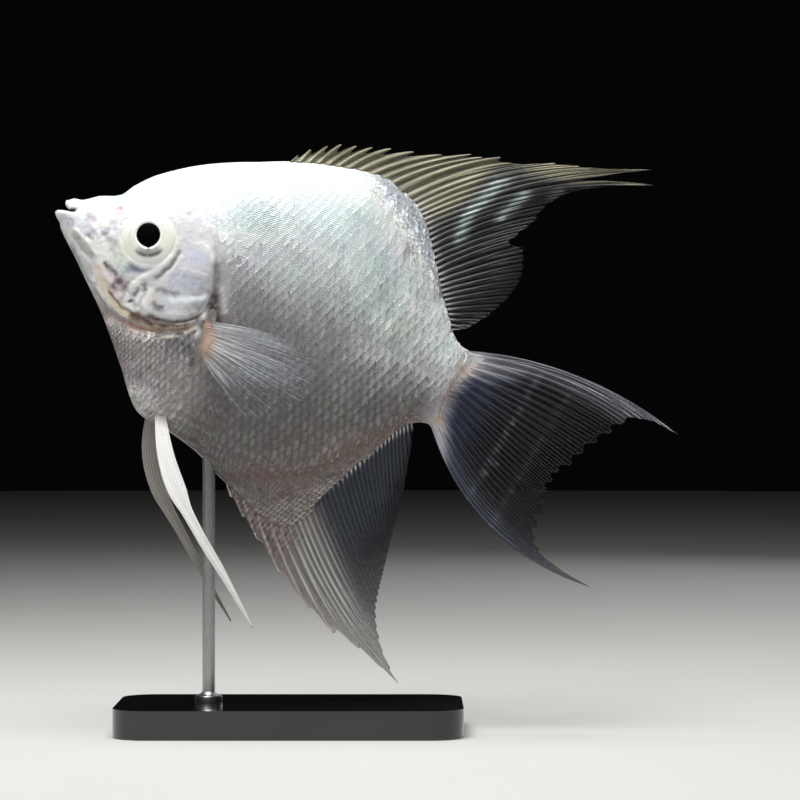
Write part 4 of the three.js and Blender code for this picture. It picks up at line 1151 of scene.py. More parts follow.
def make_coat(name, roots, side, spacing, tree, shape):
    """One piece of the coat: the scales of one size on one flank."""
    sizes = angelfish_sizes()
    mirror = np.array([1, side, 1])
    count = len(roots["x"])
    mesh = bpy.data.meshes.new(name)
    mesh.vertices.add(count)
    mesh.vertices.foreach_set("co", row(roots["place"] * mirror).astype(np.float32).ravel())
    turn = quaternions(turned(roots["lie"] * mirror), turned(roots["outward"] * mirror))
    tall = spacing * sizes.scale_height * MM
    draw = np.random.default_rng(int(spacing * 900) + side)
    patchy = 1 + 0.3 * ripple(roots["x"], roots["z"], 6, 95) + draw.normal(0, 0.25, count)
    # stands sets how far each scale rises and, kept as contrast, how strong its painted shade and painted
    # highlight are.
    stands = prominence(roots["x"], roots["z"]) * np.clip(patchy, 0.3, 1.6)
    size = np.tile((spacing * MM, tall, spacing * MM * sizes.scale_tilt), (count, 1))
    size[:, 2] *= mix(0.08, 1.0, stands)
    across = 0.5 + side * (UNWRAP_GAP + UNWRAP_WIDTH * roots["x"] / BODY_END)
    up = 0.5 - UNWRAP_HEIGHT * roots["girth"]
    places = np.stack([across, up, np.zeros(count)], -1)
    bend = turned(-roots["outward"] * mirror) * roots["sag"][:, None] * MM
    colour = linear(skin_colour(roots["x"], roots["z"]))
    # Scales that glitter get a wider spread of lighter and darker tone, as painted glints.
    sparkle = glitter(roots["x"], roots["z"])[:, None]
    uneven = draw.normal(0, 1, (count, 1)) * (0.14 * mix(0.2, 1.0, stands[:, None]) + 0.35 * sparkle)
    colour = np.clip(colour * np.exp(np.clip(uneven, mix(-0.5, -0.25, sparkle), 0.6)), 0, 1)
    for key, kind, field, value in (
        ("turn", "QUATERNION", "value", turn),
        ("size", "FLOAT_VECTOR", "vector", size),
        ("bend", "FLOAT_VECTOR", "vector", bend),
        ("contrast", "FLOAT", "value", stands),
        ("glitter", "FLOAT", "value", sparkle[:, 0]),
        ("slant", "FLOAT", "value", np.full(count, -0.16 * side)),
        ("root_place", "FLOAT_VECTOR", "vector", places),
        ("colour", "FLOAT_COLOR", "color", np.insert(colour, 3, 1.0, axis=1)),
    ):
        attribute = mesh.attributes.new(key, kind, "POINT")
        attribute.data.foreach_set(field, value.astype(np.float32).ravel())
    thing = new_object(name, mesh)
    modifier = thing.modifiers.new("Scale coat", "NODES")
    modifier.node_group = tree
    inputs = {s.name: s.identifier for s in tree.interface.items_tree if s.in_out == "INPUT"}
    modifier[inputs["Scale shape"]] = shape
    modifier[inputs["Unevenness"]] = sizes.scale_unevenness
    modifier[inputs["Patch size"]] = PATCH_SIZE
    modifier[inputs["Seed"]] = COAT_SEED
    evaluated = thing.evaluated_get(bpy.context.evaluated_depsgraph_get())
    finished = bpy.data.meshes.new_from_object(evaluated)
    finished.name = name
    thing.modifiers.clear()
    thing.data = finished
    bpy.data.meshes.remove(mesh)
    return thing


# ------------------------ fins

class Fin:
    """A fin spread as a net: from ray to ray one way, and from its root to its edge the other.

    Curves run over the rays' numbers. tip_x and tip_z place the tips, bow bends the rays, dip is
    how far the web's margin falls short of them, and aside moves the fin out of its plane. Forks
    give where on a soft ray each fork starts and ends, and how far its branches spread.
    """

    def __init__(
        self, rays, spines, root, tip_x, tip_z, bow, dip, forks, aside, root_half,
        notch=None, sheathed=None, faded=None, ray_width=0.26, spine=1.25, stout=1.0, fibres=1,
    ):
        self.rays, self.spines, self.root = rays, spines, root
        self.tip_x, self.tip_z, self.bow, self.dip = tip_x, tip_z, bow, dip
        self.forks, self.aside, self.root_half = forks, aside, root_half
        self.notch, self.sheathed, self.faded = notch, sheathed, faded
        self.ray_width, self.spine, self.stout, self.fibres = ray_width, spine, stout, fibres

    def net(self, between, rows):
        """Places, ray numbers, shares of the length, and lengths of a net, in millimetres."""
        count = (self.rays - 1) * between + 1
        n = np.linspace(0, self.rays - 1, count)[:, None]
        t = np.linspace(0, 1, rows)[None, :]
        t = t * (0.55 + 0.45 * t)
        root = self.root(n)
        tip = np.stack([self.tip_x(n), np.zeros_like(n), self.tip_z(n)], -1)
        along = tip - root
        length = np.hypot(along[..., 0], along[..., 2])
        web = np.sin(np.pi * (n - np.floor(n))) ** 2
        dip = self.dip(n) * web
        if self.notch:
            at, depth = self.notch
            dip = np.maximum(dip, depth * np.clip(1 - np.abs(n - at) / 0.45, 0, 1) ** 0.6)
        reach = t * (1 - dip * t)
        bow = self.bow(n) * 4 * reach * (1 - reach) / length
        x = root[..., 0] + along[..., 0] * reach - along[..., 2] * bow
        z = root[..., 2] + along[..., 2] * reach + along[..., 0] * bow
        n, t = np.broadcast_arrays(n, t)
        return np.stack([x, self.aside(n, t, x, z), z], -1), n, t, length * reach

    def ray_mask(self, n, t):
        """1 on a ray, 0 on the web. Soft rays fork, once or twice, on their way out."""
        nearest = np.round(n)
        off = np.abs(n - nearest)
        soft = nearest >= self.spines
        width = self.ray_width * mix(1.0, 0.6, t)
        for start, end, spread in self.forks:
            forked = step(t, start, end) * soft
            off = np.abs(off - spread * forked)
            width = width * mix(1.0, 0.62, forked)
        return ridge(off, 0, width)


def fin_plate(name, places, half, values, colours):
    """A thin closed plate over a net, with half its thickness on either side of it along y."""
    columns, rows = half.shape
    offset = np.stack([np.zeros_like(half), half, np.zeros_like(half)], -1)
    points = row(np.concatenate([(places + offset).reshape(-1, 3), (places - offset).reshape(-1, 3)]))
    per_side = columns * rows
    turn = np.cross(places[-1, 0] - places[0, 0], places[0, -1] - places[0, 0])[1]
    front = grid_faces(columns, rows, flip=turn < 0)
    ring = grid_rim(columns, rows)
    after = np.roll(ring, -1)
    rim = np.stack([ring, after, after + per_side, ring + per_side], -1)
    faces = np.concatenate([front, front[:, ::-1] + per_side, rim[:, ::-1] if turn < 0 else rim])
    values = {key: np.tile(value.ravel(), 2) for key, value in values.items()}
    colours = np.tile(colours.reshape(-1, 3), (2, 1))
    return mesh_of(name, points, faces, values, colours)


def make_fin(name, fin, between, rows, paint, material, ray_half, web_half):
    """A fin with solid rays and a thinner web, its colours from paint."""
    places, n, t, along = fin.net(between, rows)
    mask = fin.ray_mask(n, t)
    strong = np.where(n < fin.spines - 0.5, fin.spine, 1.0) * mix(1.0, 0.45, t) * fin.stout
    half = web_half * mix(1.0, 0.6, t) + ray_half * strong * mask
    half = half + fin.root_half * (1 - step(along, 0, 2.5))
    if fin.sheathed:
        deep = fin.sheathed(places[..., 0], places[..., 2])
        half = mix(half, np.minimum(half, 0.24), step(deep, -0.2, 0.5))
    web, ray = paint(n, t, places[..., 0], places[..., 2])
    colours = np.clip(tint(web, ray, mask), 0, 1)
    faded = fin.faded(n) if fin.faded else 0
    outward = np.clip(t + faded, 0, 1)
    values = {"ray": mask, "along": along, "outward": outward, "number": n * fin.fibres}
    thing = fin_plate(name, places, half, values, colours)
    thing.data.materials.append(material)
    return thing


def wave(size, rate, phase=0.0):
    """A fin's slight waviness across its plane."""
    return lambda n, t, x, z: size * t * np.sin(rate * n + phase + 2.2 * t)


dorsal_root_x = through((0, 32.8), (6, 42), (12, 52), (17, 55.8), (27, 63.5), (38, 70.4))
anal_root_x = through((0, 44.4), (3, 49), (6, 53), (12, 57.6), (24, 65), (35, 70.2))
ROOT_GAP = 0.1


def dorsal_root(n):
    """Where the dorsal fin's rays start, just inside the back."""
    x = dorsal_root_x(n)
    return np.stack([x, np.zeros_like(x), back(x) - ROOT_GAP], -1)


def anal_root(n):
    """Where the anal fin's rays start, just inside the belly."""
    x = anal_root_x(n)
    return np.stack([x, np.zeros_like(x), belly(x) + ROOT_GAP], -1)


def tail_root(n):
    """Where the tail fin's rays start, on the end of the tail base."""
    x = np.full(np.shape(n), 73.8)
    return np.stack([x, np.zeros_like(x), 5.7 - 13.9 * n / 16], -1)


DORSAL = Fin(
    39, 12, dorsal_root,
    straight(
        (0, 33.7), (1, 35.3), (2, 37.8), (3, 39.8), (5, 45), (6, 48), (7, 51.8), (8, 56.5),
        (9, 61.2), (10, 63.2), (11, 66), (12, 69.3), (13, 75), (15, 83), (17, 91), (18, 92.5),
        (19, 85.4), (20, 80.2), (21, 78), (22, 76.6), (23, 76.3), (26, 73.4), (27, 76.4),
        (29, 77.6), (31, 78), (33, 77.3), (35, 75.4), (37, 73), (38, 71.4),
    ),
    straight(
        (0, 25), (1, 26.8), (2, 28.6), (3, 29.8), (5, 31.5), (6, 32.7), (7, 33.8), (8, 35.3),
        (9, 37.5), (10, 37.8), (11, 39.1), (12, 39.2), (13, 42), (15, 44.4), (17, 47.8),
        (18, 45.5), (19, 42.3), (20, 38.9), (21, 36.6), (22, 34), (23, 31.8), (26, 26),
        (27, 26.3), (29, 23.4), (31, 20.6), (33, 17.2), (35, 13), (37, 9.6), (38, 8.5),
    ),
    straight(
        (0, 0), (9, 0.8), (12, 1.4), (14, 2.2), (17, 2.4), (18, 3), (19, 1.8), (20, 1.2),
        (26, 0.4), (38, 0),
    ),
    dip=straight((0, 0.4), (7, 0.3), (9, 0.1), (17, 0.02), (20, 0.03), (38, 0.03)),
    notch=(17.5, 0.3), forks=((0.3, 0.9, 0.22),), aside=wave(0.35, 0.55), root_half=0.35,
    sheathed=lambda x, z: top_edge(x) - z,
)
ANAL = Fin(
    36, 6, anal_root,
    straight(
        (0, 47), (1, 50.5), (2, 54.3), (3, 60), (4, 67), (5, 73), (6, 78), (7, 83), (8, 87.2),
        (9, 84.4), (10, 82), (12, 79.6), (14, 78.2), (17, 77.4), (24, 76.4), (28, 75.6),
        (32, 74.2), (34, 72.6), (35, 71.2),
    ),
    straight(
        (0, -33.8), (1, -36.2), (2, -38.7), (3, -42.3), (4, -46), (5, -48.3), (6, -48.9),
        (7, -50.4), (8, -51.8), (9, -49.6), (10, -47.4), (12, -44.2), (14, -41.4), (17, -38),
        (24, -32.6), (28, -28.4), (32, -20.5), (34, -14), (35, -9.6),
    ),
    straight((0, 0), (4, -0.8), (7, -2.2), (8, -2.6), (11, -1.2), (20, -0.4), (35, 0)),
    dip=straight((0, 0.3), (4, 0.08), (9, 0.02), (35, 0.012)),
    forks=((0.3, 0.9, 0.22),), aside=wave(0.4, 0.5, 1.0), root_half=0.35, spine=0.7, stout=0.6, fibres=2,
    sheathed=lambda x, z: z - bottom_edge(x),
)
TAIL = Fin(
    17, 0, tail_root,
    straight(
        (0, 114), (1, 107.5), (2, 104.3), (3, 103.2), (4, 101.4), (5, 100), (6, 99), (7, 97.4),
        (9, 97), (11, 98), (12, 98), (13, 98.6), (14, 100.2), (15, 102), (16, 111),
    ),
    straight(
        (0, 7.6), (1, 7.7), (2, 5.4), (3, 3.2), (4, 0.6), (5, -2), (6, -4.8), (7, -6.8),
        (9, -10.6), (11, -14.6), (12, -17), (13, -19.2), (14, -20.6), (15, -21.6), (16, -22.9),
    ),
    straight((0, 3.2), (2, 1.9), (4, 0.7), (7, 0), (12, -1.4), (14, -2.4), (15, -3.1), (16, -5.2)),
    dip=lambda n: 0.035 + 0 * n, ray_width=0.17,
    forks=((0.1, 0.5, 0.25), (0.45, 0.9, 0.12)), aside=wave(0.9, 0.32, 0.4), root_half=0.3, fibres=3,
)

# The pectoral fin: where its root starts, how long and high the root is, its number of rays and
# how fast it spreads away from the flank.
FAN = {"x": 31, "y": 4.9, "z": -8, "length": 2.2, "height": 5.6, "rays": 14}
FAN_SPREAD = math.tan(math.radians(13))


def fan_fin(side):
    """The pectoral fin of one side."""
    last = FAN["rays"] - 1

    def root(n):
        x = FAN["x"] + FAN["length"] * n / last
        return np.stack([x, 0 * x, FAN["z"] - FAN["height"] * n / last], -1)

    def aside(n, t, x, z):
        start = FAN["x"] + FAN["length"] * n / last
        return side * (FAN["y"] + 0.3 + (x - start) * FAN_SPREAD + 0.25 * t * np.sin(0.9 * n))

    return Fin(
        FAN["rays"], 0, root,
        through((0, 45.2), (2.4, 50), (4.7, 52.5), (7.1, 53), (9.5, 51), (11.8, 47.6), (13, 43.8)),
        through((0, -5), (2.4, -6.2), (4.7, -9), (7.1, -12), (9.5, -15.6), (11.8, -18.8), (13, -20.4)),
        straight((0, 0.6), (6, 0.2), (13, -0.4)),
        dip=lambda n: 0.05 + 0 * n, ray_width=0.15, forks=((0.08, 0.5, 0.25),),
        aside=aside, root_half=0.4, faded=lambda n: 0.3 * step(n, 5, 11),
    )


# The pelvic fins: their middle lines, and half their width along them.
PELVICS = {
    "left": (
        [
            (28.8, 0.3, -23.2), (33.6, 3, -31), (38.6, 4.2, -36.6), (45, 4.6, -41.8),
            (52, 4.2, -46.8), (60, 3.6, -52.9),
        ],
        through((0, 0.5), (0.08, 1), (0.25, 1.5), (0.4, 1.6), (0.5, 1), (0.75, 0.75), (1, 0.12)),
    ),
    "right": (
        [
            (27.8, 0.3, -23.4), (30.6, 3.2, -32), (35.2, 4.4, -38.2), (42, 4.8, -43.6),
            (50, 4.4, -49.7), (56, 3.8, -54),
        ],
        through((0, 0.5), (0.08, 1), (0.25, 1.4), (0.4, 1.4), (0.5, 1), (0.75, 0.6), (1, 0.12)),
    ),
}
# Pale and deep colours of each pelvic fin. The far, right fin is the same pale fin as the near one; its
# greys are painted shade.
PELVIC_COLOURS = {
    "left": ((1.0, 1.0, 1.0), (0.96, 0.96, 0.94)),
    "right": ((0.62, 0.6, 0.57), (0.47, 0.45, 0.44)),
}


def make_pelvic(name, side, material):
    """A long pelvic fin: rays that lie side by side and end one after the other."""
    middle, half_width = PELVICS[side]
    last = len(middle) - 1
    line = [through(*[(i / last, p[k]) for i, p in enumerate(middle)]) for k in range(3)]
    columns, rows, rays = 41, 110, 6
    v = np.linspace(-1, 1, columns)[:, None]
    t = np.linspace(0, 1, rows)[None, :]
    x, y, z = (curve(t) for curve in line)
    tiny = 0.01
    dx = line[0](t + tiny) - line[0](t - tiny)
    dz = line[2](t + tiny) - line[2](t - tiny)
    size = np.hypot(dx, dz)
    wide = half_width(t) * v
    groove = np.cos(np.pi * rays * (v + 1) / 2) ** 2
    mask = 1 - groove**3 + 0 * t
    thick = mix(mix(0.42, 0.2, t), mix(0.36, 0.16, t), 1 - mask)
    stiff = np.clip(1 - (v + 0.86) / 0.14, 0, 1) * 0.15
    half = thick * np.sqrt(np.clip(1.02 - v**2, 0, 1)) + stiff * (1 - t)
    sway = 0.1 * np.sin(9 * t + 5 * v) * t
    places = np.stack([
        x + dz / size * wide,
        SIDES[side] * (y + 0.35 * v * v * (1 - t) + sway) + 0 * wide,
        z - dx / size * wide,
    ], -1)
    pale, deep = PELVIC_COLOURS[side]
    uneven = 0.5 + 0.5 * ripple(places[..., 0], places[..., 2], 3.5, 31)
    colours = tint(deep, pale, np.clip(mask * 0.75 + 0.25 * uneven, 0, 1))
    colours = tint(colours, (0.6, 0.56, 0.55), (1 - step(-places[..., 2], 25.4, 28)) * 0.9)
    full = (columns, rows)
    values = {
        "ray": 0.6 + 0.4 * mask,
        "along": np.broadcast_to(t * 40, full),
        "outward": np.broadcast_to(t, full),
        "number": np.broadcast_to(3 * v, full),
    }
    thing = fin_plate(name, places, np.broadcast_to(half, full), values, colours)
    thing.data.materials.append(material)
    return thing


def dorsal_paint(n, t, x, z):
    """Cream rays in an olive web in front, fading rays in a dark web with pale bands behind."""
    colours = angelfish_colours()
    dark_web, olive_web = (0.025, 0.025, 0.035), (0.42, 0.41, 0.33)
    beyond = step(x - 0.2 * (z - 30), 62, 67) * step(n, 9, 14) * (1 - step(z, 36, 41))
    dark = np.clip(step(n, 15, 21) + beyond, 0, 1)
    web = tint(olive_web, dark_web, dark)
    ray = tint(colours.front_ray, np.array(colours.rear_ray) * 0.45, dark * 0.96)
    outward = step(t, 0.12, 0.6) * step(n, 17, 21)
    ray = tint(ray, (0.045, 0.048, 0.058), outward * 0.95)
    base = ridge(z, top_edge(x), 2.4)
    ray = tint(ray, (0.88, 0.88, 0.86), base * step(n, 9, 14) * 0.85)
    bands = (
        ([(65.2, 20), (65.1, 28.3), (67.6, 34.7), (70.5, 38)], 1.3, 1.0),
        ([(69.4, 27.6), (71.6, 32.4), (73.6, 36.6)], 1.0, 0.95),
        ([(76.4, 35.4), (78.6, 38.8)], 0.9, 0.5),
    )
    for line, width, strength in bands:
        band = bump_line(x, z, line, width, 0.25) * (1 + 0.25 * ripple(x, z, 1.6, 41))
        ray = tint(ray, (0.8, 0.87, 0.84), np.clip(band * strength * 1.2, 0, 1))
        web = tint(web, (0.42, 0.48, 0.47), np.clip(band * strength, 0, 1))
    tips = step(x, 84, 90)
    return tint(web, (0.74, 0.72, 0.64), tips * 0.8), tint(ray, (0.88, 0.87, 0.8), tips * 0.9)


def anal_paint(n, t, x, z):
    """Pinkish web in front, silver streaks along the leading rays, dark web behind."""
    rear = step(n, 8, 15)
    out = bottom_edge(x) - z
    web = tint((0.56, 0.51, 0.49), (0.2, 0.215, 0.245), rear)
    ray = tint((0.7, 0.66, 0.64), (0.25, 0.265, 0.3), rear)
    margin = rear * step(t, 0.4, 0.9)
    web = tint(web, (0.09, 0.1, 0.12), margin * 0.9)
    ray = tint(ray, (0.15, 0.16, 0.18), margin * 0.9)
    streak = bump_line(x, z, [(58, -33), (66, -39), (76, -45.6), (86, -51.2)], 3.4)
    ray = tint(ray, (0.78, 0.81, 0.79), streak * 0.9)
    web = tint(web, (0.48, 0.49, 0.49), streak * 0.8)
    ray = tint(ray, (0.95, 0.93, 0.91), ridge(out, 0.4, 1.1) * step(n, 13, 20))
    flesh = (1 - step(out, 2, 12)) * (1 - step(n, 5, 11))
    speck = 0.8 + 0.3 * ripple(x, z, 0.9, 93)[..., None]
    web = mix(web, np.array((0.66, 0.6, 0.58)) * speck, flesh[..., None])
    ray = mix(ray, np.array((0.73, 0.69, 0.67)) * speck, flesh[..., None])
    edge = (1 - step(n, 0.02, 0.5)) + 0.8 * step(t, 0.93, 0.99) * (1 - step(n, 6, 9))
    return tint(web, (0.9, 0.86, 0.84), edge * 0.6), tint(ray, (0.95, 0.92, 0.9), edge * 0.8)


def tail_paint(n, t, x, z):
    """Silvery upper and lower edges, and a navy web that darkens towards the margin."""
    upper = 1 - step(n - 2.4 * (1 - step(x, 77, 88)), 0.6, 2.9)
    lower = 1 - step(16 - n, 0.8, 4.4)
    web = tint((0.19, 0.21, 0.3), (0.03, 0.03, 0.04), step(t, 0.08, 0.6))
    ray = tint((0.23, 0.25, 0.31), (0.12, 0.115, 0.12), step(t, 0.1, 0.7))
    web = tint(tint(web, (0.62, 0.63, 0.68), upper * 0.9), (0.3, 0.32, 0.38), lower * 0.75)
    ray = tint(tint(ray, (0.92, 0.92, 0.95), upper * 0.95), (0.44, 0.46, 0.52), lower * 0.75)
    strands = 1 - (0.5 * np.sin(np.pi * 5 * (n + 0.3 * np.sin(3 * t))) ** 2 * upper)[..., None]
    web, ray = web * strands, ray * strands
    for at, strength in ((87, 0.6), (93, 0.4)):
        line = ridge(x - 0.12 * z, at, 0.6) * (0.5 + 0.6 * ripple(x, z, 2.2, 51))
        web = tint(web, (0.5, 0.52, 0.58), np.clip(line, 0, 1) * strength)
        ray = tint(ray, (0.66, 0.68, 0.72), np.clip(line, 0, 1) * strength)
    for cx, cz, size in ((87, -10, 0.5), (86, -12.2, 0.6), (111.4, 8.1, 0.8), (99.6, -2.8, 0.4)):
        bead = blot(x, z, cx, cz, size, size)
        web = tint(web, (0.6, 0.63, 0.63), bead * 0.5)
        ray = tint(ray, (0.7, 0.72, 0.72), bead * 0.5)
    root = (1 - tail_web_share(x, z)) * (1 - step(x, 76.5, 81))
    skin = stalk_colour(np.broadcast_to(np.array((0.76, 0.76, 0.78)), web.shape), x, z)
    return mix(web, skin, root[..., None]), mix(ray, skin, root[..., None])


def fan_paint(n, t, x, z):
    """Clear web and pale rays from a peach root."""
    web = np.broadcast_to(np.array((0.78, 0.81, 0.86)), n.shape + (3,))
    ray = np.broadcast_to(np.array((0.93, 0.94, 0.96)), n.shape + (3,))
    glow = (1 - step(t, 0.1, 0.55))[..., None]
    web, ray = mix(web, 0.97, glow), mix(ray, 1.0, glow)
    root = 1 - step(t, 0.03, 0.14)
    flesh = np.array((0.97, 0.8, 0.7))
    return tint(web, flesh, root), tint(ray, flesh, root * 0.9)


# ------------------------ eyes

def make_eye(name, side, material):
    """An eye turned about the way that it looks: pupil, iris and the ball behind them."""
    profile = [(0.0, 0.62)]
    profile += [(r, 0.52 + 0.1 * (1 - (r / 2.0) ** 2)) for r in np.linspace(0.2, 1.96, 10)]
    profile += [(2.04, 0.51), (2.12, 0.53), (2.25, 0.6), (2.4, 0.62), (2.55, 0.58)]
    profile += [(r, 0.54 - 0.52 * ((r - 2.62) / 2.1) ** 1.6) for r in np.linspace(2.62, 4.7, 40)]
    profile += [(4.9, -0.12), (5.0, -0.6), (4.9, -1.3), (4, -2), (2, -2.5), (0.0, -2.6)]
    radii, heights = np.array(profile).T
    around = 96
    turn = np.linspace(0, 2 * np.pi, around, endpoint=False)
    seat, rim_depth = eye_seat(turn)
    r, a = radii[:, None], turn[None, :]
    # Angles as they look in the fish's pose: 0 towards the tail and 90 straight up, or 0 down.
    angle = np.degrees((a - NOSE_UP + np.pi) % (2 * np.pi) - np.pi)
    down = np.degrees((a - NOSE_UP + np.pi / 2 + np.pi) % (2 * np.pi) - np.pi)
    point = 0.07 * ridge(down, 0, 22) + 0.06 * ridge(down, 0, 5)
    shown = r * (1 + point * ridge(r, 2.05, 0.2))
    inner = 1 - step(r, 2.6, 4.5)
    settled = step(r, 2.6, 4.6)
    places = np.stack([
        EYE["x"] + EYE["pupil_x"] * inner + shown * np.cos(a),
        seat + heights[:, None] + (rim_depth - seat) * settled
        + (1 - settled) * shown * (np.cos(a) * EYE_LEAN[0] + np.sin(a) * EYE_LEAN[1]),
        EYE["z"] + EYE["pupil_z"] * inner + shown * np.sin(a),
    ], -1) * np.array([1, side, 1])
    out = np.broadcast_to(r, (len(radii), around))
    colour = iris_colour(EYE["x"] + r * np.cos(a), EYE["z"] + r * np.sin(a))
    colour = tint(colour, (0.99, 0.99, 0.98), ridge(out, 2.35, 0.28))
    # Painted shadow under the iris: a grey crescent with a darker outer edge.
    under = step(-angle, 35, 65) * (1 - step(-angle, 112, 140))
    shadow_crescent = step(out, 2.5, 2.75) * (1 - step(out, 3.4, 3.85)) * under
    colour = tint(colour, (0.62, 0.62, 0.61), shadow_crescent * 0.85)
    colour = tint(colour, (0.36, 0.35, 0.35), ridge(out, 3.4, 0.22) * under * 0.8)
    colour = tint(colour, (0.55, 0.55, 0.54), ridge(down, 0, 6) * ridge(out, 2.5, 0.35) * 0.8)
    arcs = ((3.3, 0.12, 100, 200, 0.25), (3.9, 0.14, 20, 80, 0.3), (4.5, 0.14, -20, 40, 0.45))
    for at, width, low, high, share in arcs:
        arc = ridge(out, at, width) * step(angle % 360, low % 360 - 20, low % 360 + 10)
        arc = arc * (1 - step(angle % 360, high % 360 - 10, high % 360 + 20))
        colour = tint(colour, (0.7, 0.7, 0.71), arc * share)
    pupil = 1 - step(out, 2.0, 2.1)
    colour = tint(colour, (0.012, 0.012, 0.016), pupil)
    faces = grid_faces(len(radii), around, closed=True)
    thing = mesh_of(name, row(places).reshape(-1, 3), faces, {"out": out}, colour.reshape(-1, 3), weld=1e-6)
    thing.data.materials.append(material)
    return thing


def eye_seat(turn):
    """The mean depth of the skin round the eye, and its depth in each direction from the eye."""
    x = EYE["x"] + (EYE["rim"] + 0.1) * np.cos(turn)
    z = EYE["z"] + (EYE["rim"] + 0.1) * np.sin(turn)
    t = np.linspace(0, 1, 800)
    depths = []
    for xi, zi in zip(x, z):
        ring = flank(xi, t, with_relief=False)
        depths.append(np.interp(-zi, -ring[:, 2], ring[:, 1]))
    return float(np.mean(depths)), np.array(depths)


# ------------------------ properties

class AngelfishSizes(bpy.types.PropertyGroup):
    """Sizes of the fish's coat and fins."""

    coat_depth: FloatProperty(
        name="Coat depth", description="How far the skin lies inside the scaled surface",
        default=0.00012, unit="LENGTH",
    )
    scale_spacing: FloatProperty(
        name="Scale spacing", description="Distance from scale to scale along a row at mid flank",
        default=0.0014, unit="LENGTH",
    )
    scale_height: FloatProperty(
        name="Row distance", description="Distance between rows as a share of the spacing in a row",
        default=1.25,
    )
    scale_tilt: FloatProperty(
        name="Tilt", description="How strongly scales rise towards their free edges", default=0.45,
        subtype="FACTOR",
    )
    scale_unevenness: FloatProperty(
        name="Unevenness", description="How much scales differ in size", default=0.06,
        subtype="FACTOR",
    )
    ray_half: FloatProperty(
        name="Ray half thickness", description="Half the thickness of a fin ray at its root",
        default=0.00024, unit="LENGTH",
    )
    web_half: FloatProperty(
        name="Web half thickness", description="Half the thickness of the web between rays",
        default=0.00007, unit="LENGTH",
    )
    head_rings: IntProperty(
        name="Head rings", description="Rings of the skin in front of the gill opening", default=150,
    )
    trunk_rings: IntProperty(
        name="Trunk rings", description="Rings of the skin behind the gill opening", default=90,
    )
    flank_points: IntProperty(
        name="Flank points", description="Points of a ring from the back to the belly", default=170,
    )


def paint_property(name, description, colour):
    """A screen colour that a user may change."""
    return FloatVectorProperty(
        name=name, description=description, default=colour, size=3, subtype="COLOR_GAMMA",
        min=0.0, max=1.0,
    )


class AngelfishColours(bpy.types.PropertyGroup):
    """Screen colours of the fish and its stand."""

    # Back, high flank, flank, low flank and belly run from near white to dark grey: partly the fish's own
    # counter-shading, partly painted light on the back and painted shade towards the belly.
    back: paint_property("Back", "Forehead and back", (0.925, 0.985, 0.975))
    high_flank: paint_property("High flank", "Between the back and mid flank", (0.895, 0.93, 0.925))
    flank: paint_property("Flank", "Middle of the flank", (0.6, 0.59, 0.59))
    low_flank: paint_property("Low flank", "Between mid flank and the belly", (0.37, 0.355, 0.35))
    belly: paint_property("Belly", "Along the belly", (0.36, 0.34, 0.33))
    anal_sheath: paint_property("Anal sheath", "Scaled root of the anal fin", (0.48, 0.41, 0.39))
    dorsal_sheath: paint_property("Dorsal sheath", "Scaled root of the dorsal fin", (0.7, 0.72, 0.74))
    front_ray: paint_property("Front rays", "Spines of the dorsal fin", (0.78, 0.76, 0.64))
    rear_ray: paint_property("Rear rays", "Soft rays of the median fins", (0.36, 0.37, 0.41))
    base: paint_property("Stand base", "Polished base of the stand", (0.09, 0.09, 0.095))


class AngelfishStage(bpy.types.PropertyGroup):
    """Camera, lights and floor."""

    camera_place: FloatVectorProperty(
        name="Camera", description="Where the camera is", default=(0.0191, -0.6, 0.0576),
        subtype="TRANSLATION", unit="LENGTH",
    )
    camera_view: FloatProperty(
        name="View width", description="Width of the view at the fish", default=0.13913,
        unit="LENGTH",
    )
    floor_radius: FloatProperty(
        name="Floor radius", description="Radius of the round pale floor", default=1.6,
        unit="LENGTH",
    )
    key_power: FloatProperty(
        name="Top light", description="Power of the soft light over the fish", default=2.4, unit="POWER",
    )
    fill_power: FloatProperty(
        name="Front light", description="Power of the soft light from the camera's side", default=1.3,
        unit="POWER",
    )


# ------------------------ operators

class ANGELFISH_OT_skin(bpy.types.Operator):
    """Build the one skin of the head, jaws, gill covers, trunk and tail base"""

    bl_idname = "angelfish.skin"
    bl_label = "Skin"

    def execute(self, context):
        sizes = context.scene.angelfish_sizes
        gill, last = 31, BODY_END - 1
        head = np.linspace(0, 1, sizes.head_rings, endpoint=False)
        head = BODY_START + (gill - BODY_START) * (0.8 * head + 0.2 * head**2)
        trunk = np.linspace(gill, last, sizes.trunk_rings, endpoint=False)
        x = np.concatenate([head, trunk, BODY_END - np.linspace(1, 0, 7) ** 2])
        t = np.linspace(0, 1, sizes.flank_points)
        right = flank(x[:, None], t[None, :])
        left = right[:, -2:0:-1] * np.array([1, -1, 1])
        rings = np.concatenate([right, left], 1)
        faces = grid_faces(len(x), rings.shape[1], closed=True)
        x, z = rings[..., 0], rings[..., 2]
        behind, _ = to_line(x, z, GILL_EDGE)
        foil = (1 - step(behind, -0.5, 0.5)) * (1 - step(z, 3, 7)) * step(x, 1, 4)
        skin = mesh_of(
            "fish_skin", row(rings).reshape(-1, 3), faces, {"foil": foil},
            skin_colour(x, z).reshape(-1, 3), weld=2e-6,
        )
        skin.data.materials.append(skin_finish())
        ride_root(
            skin, "scales", "head", "upper_jaw", "lower_jaw", "gill_cover_left",
            "gill_cover_right", "trunk", "tail_base",
        )
        return {"FINISHED"}


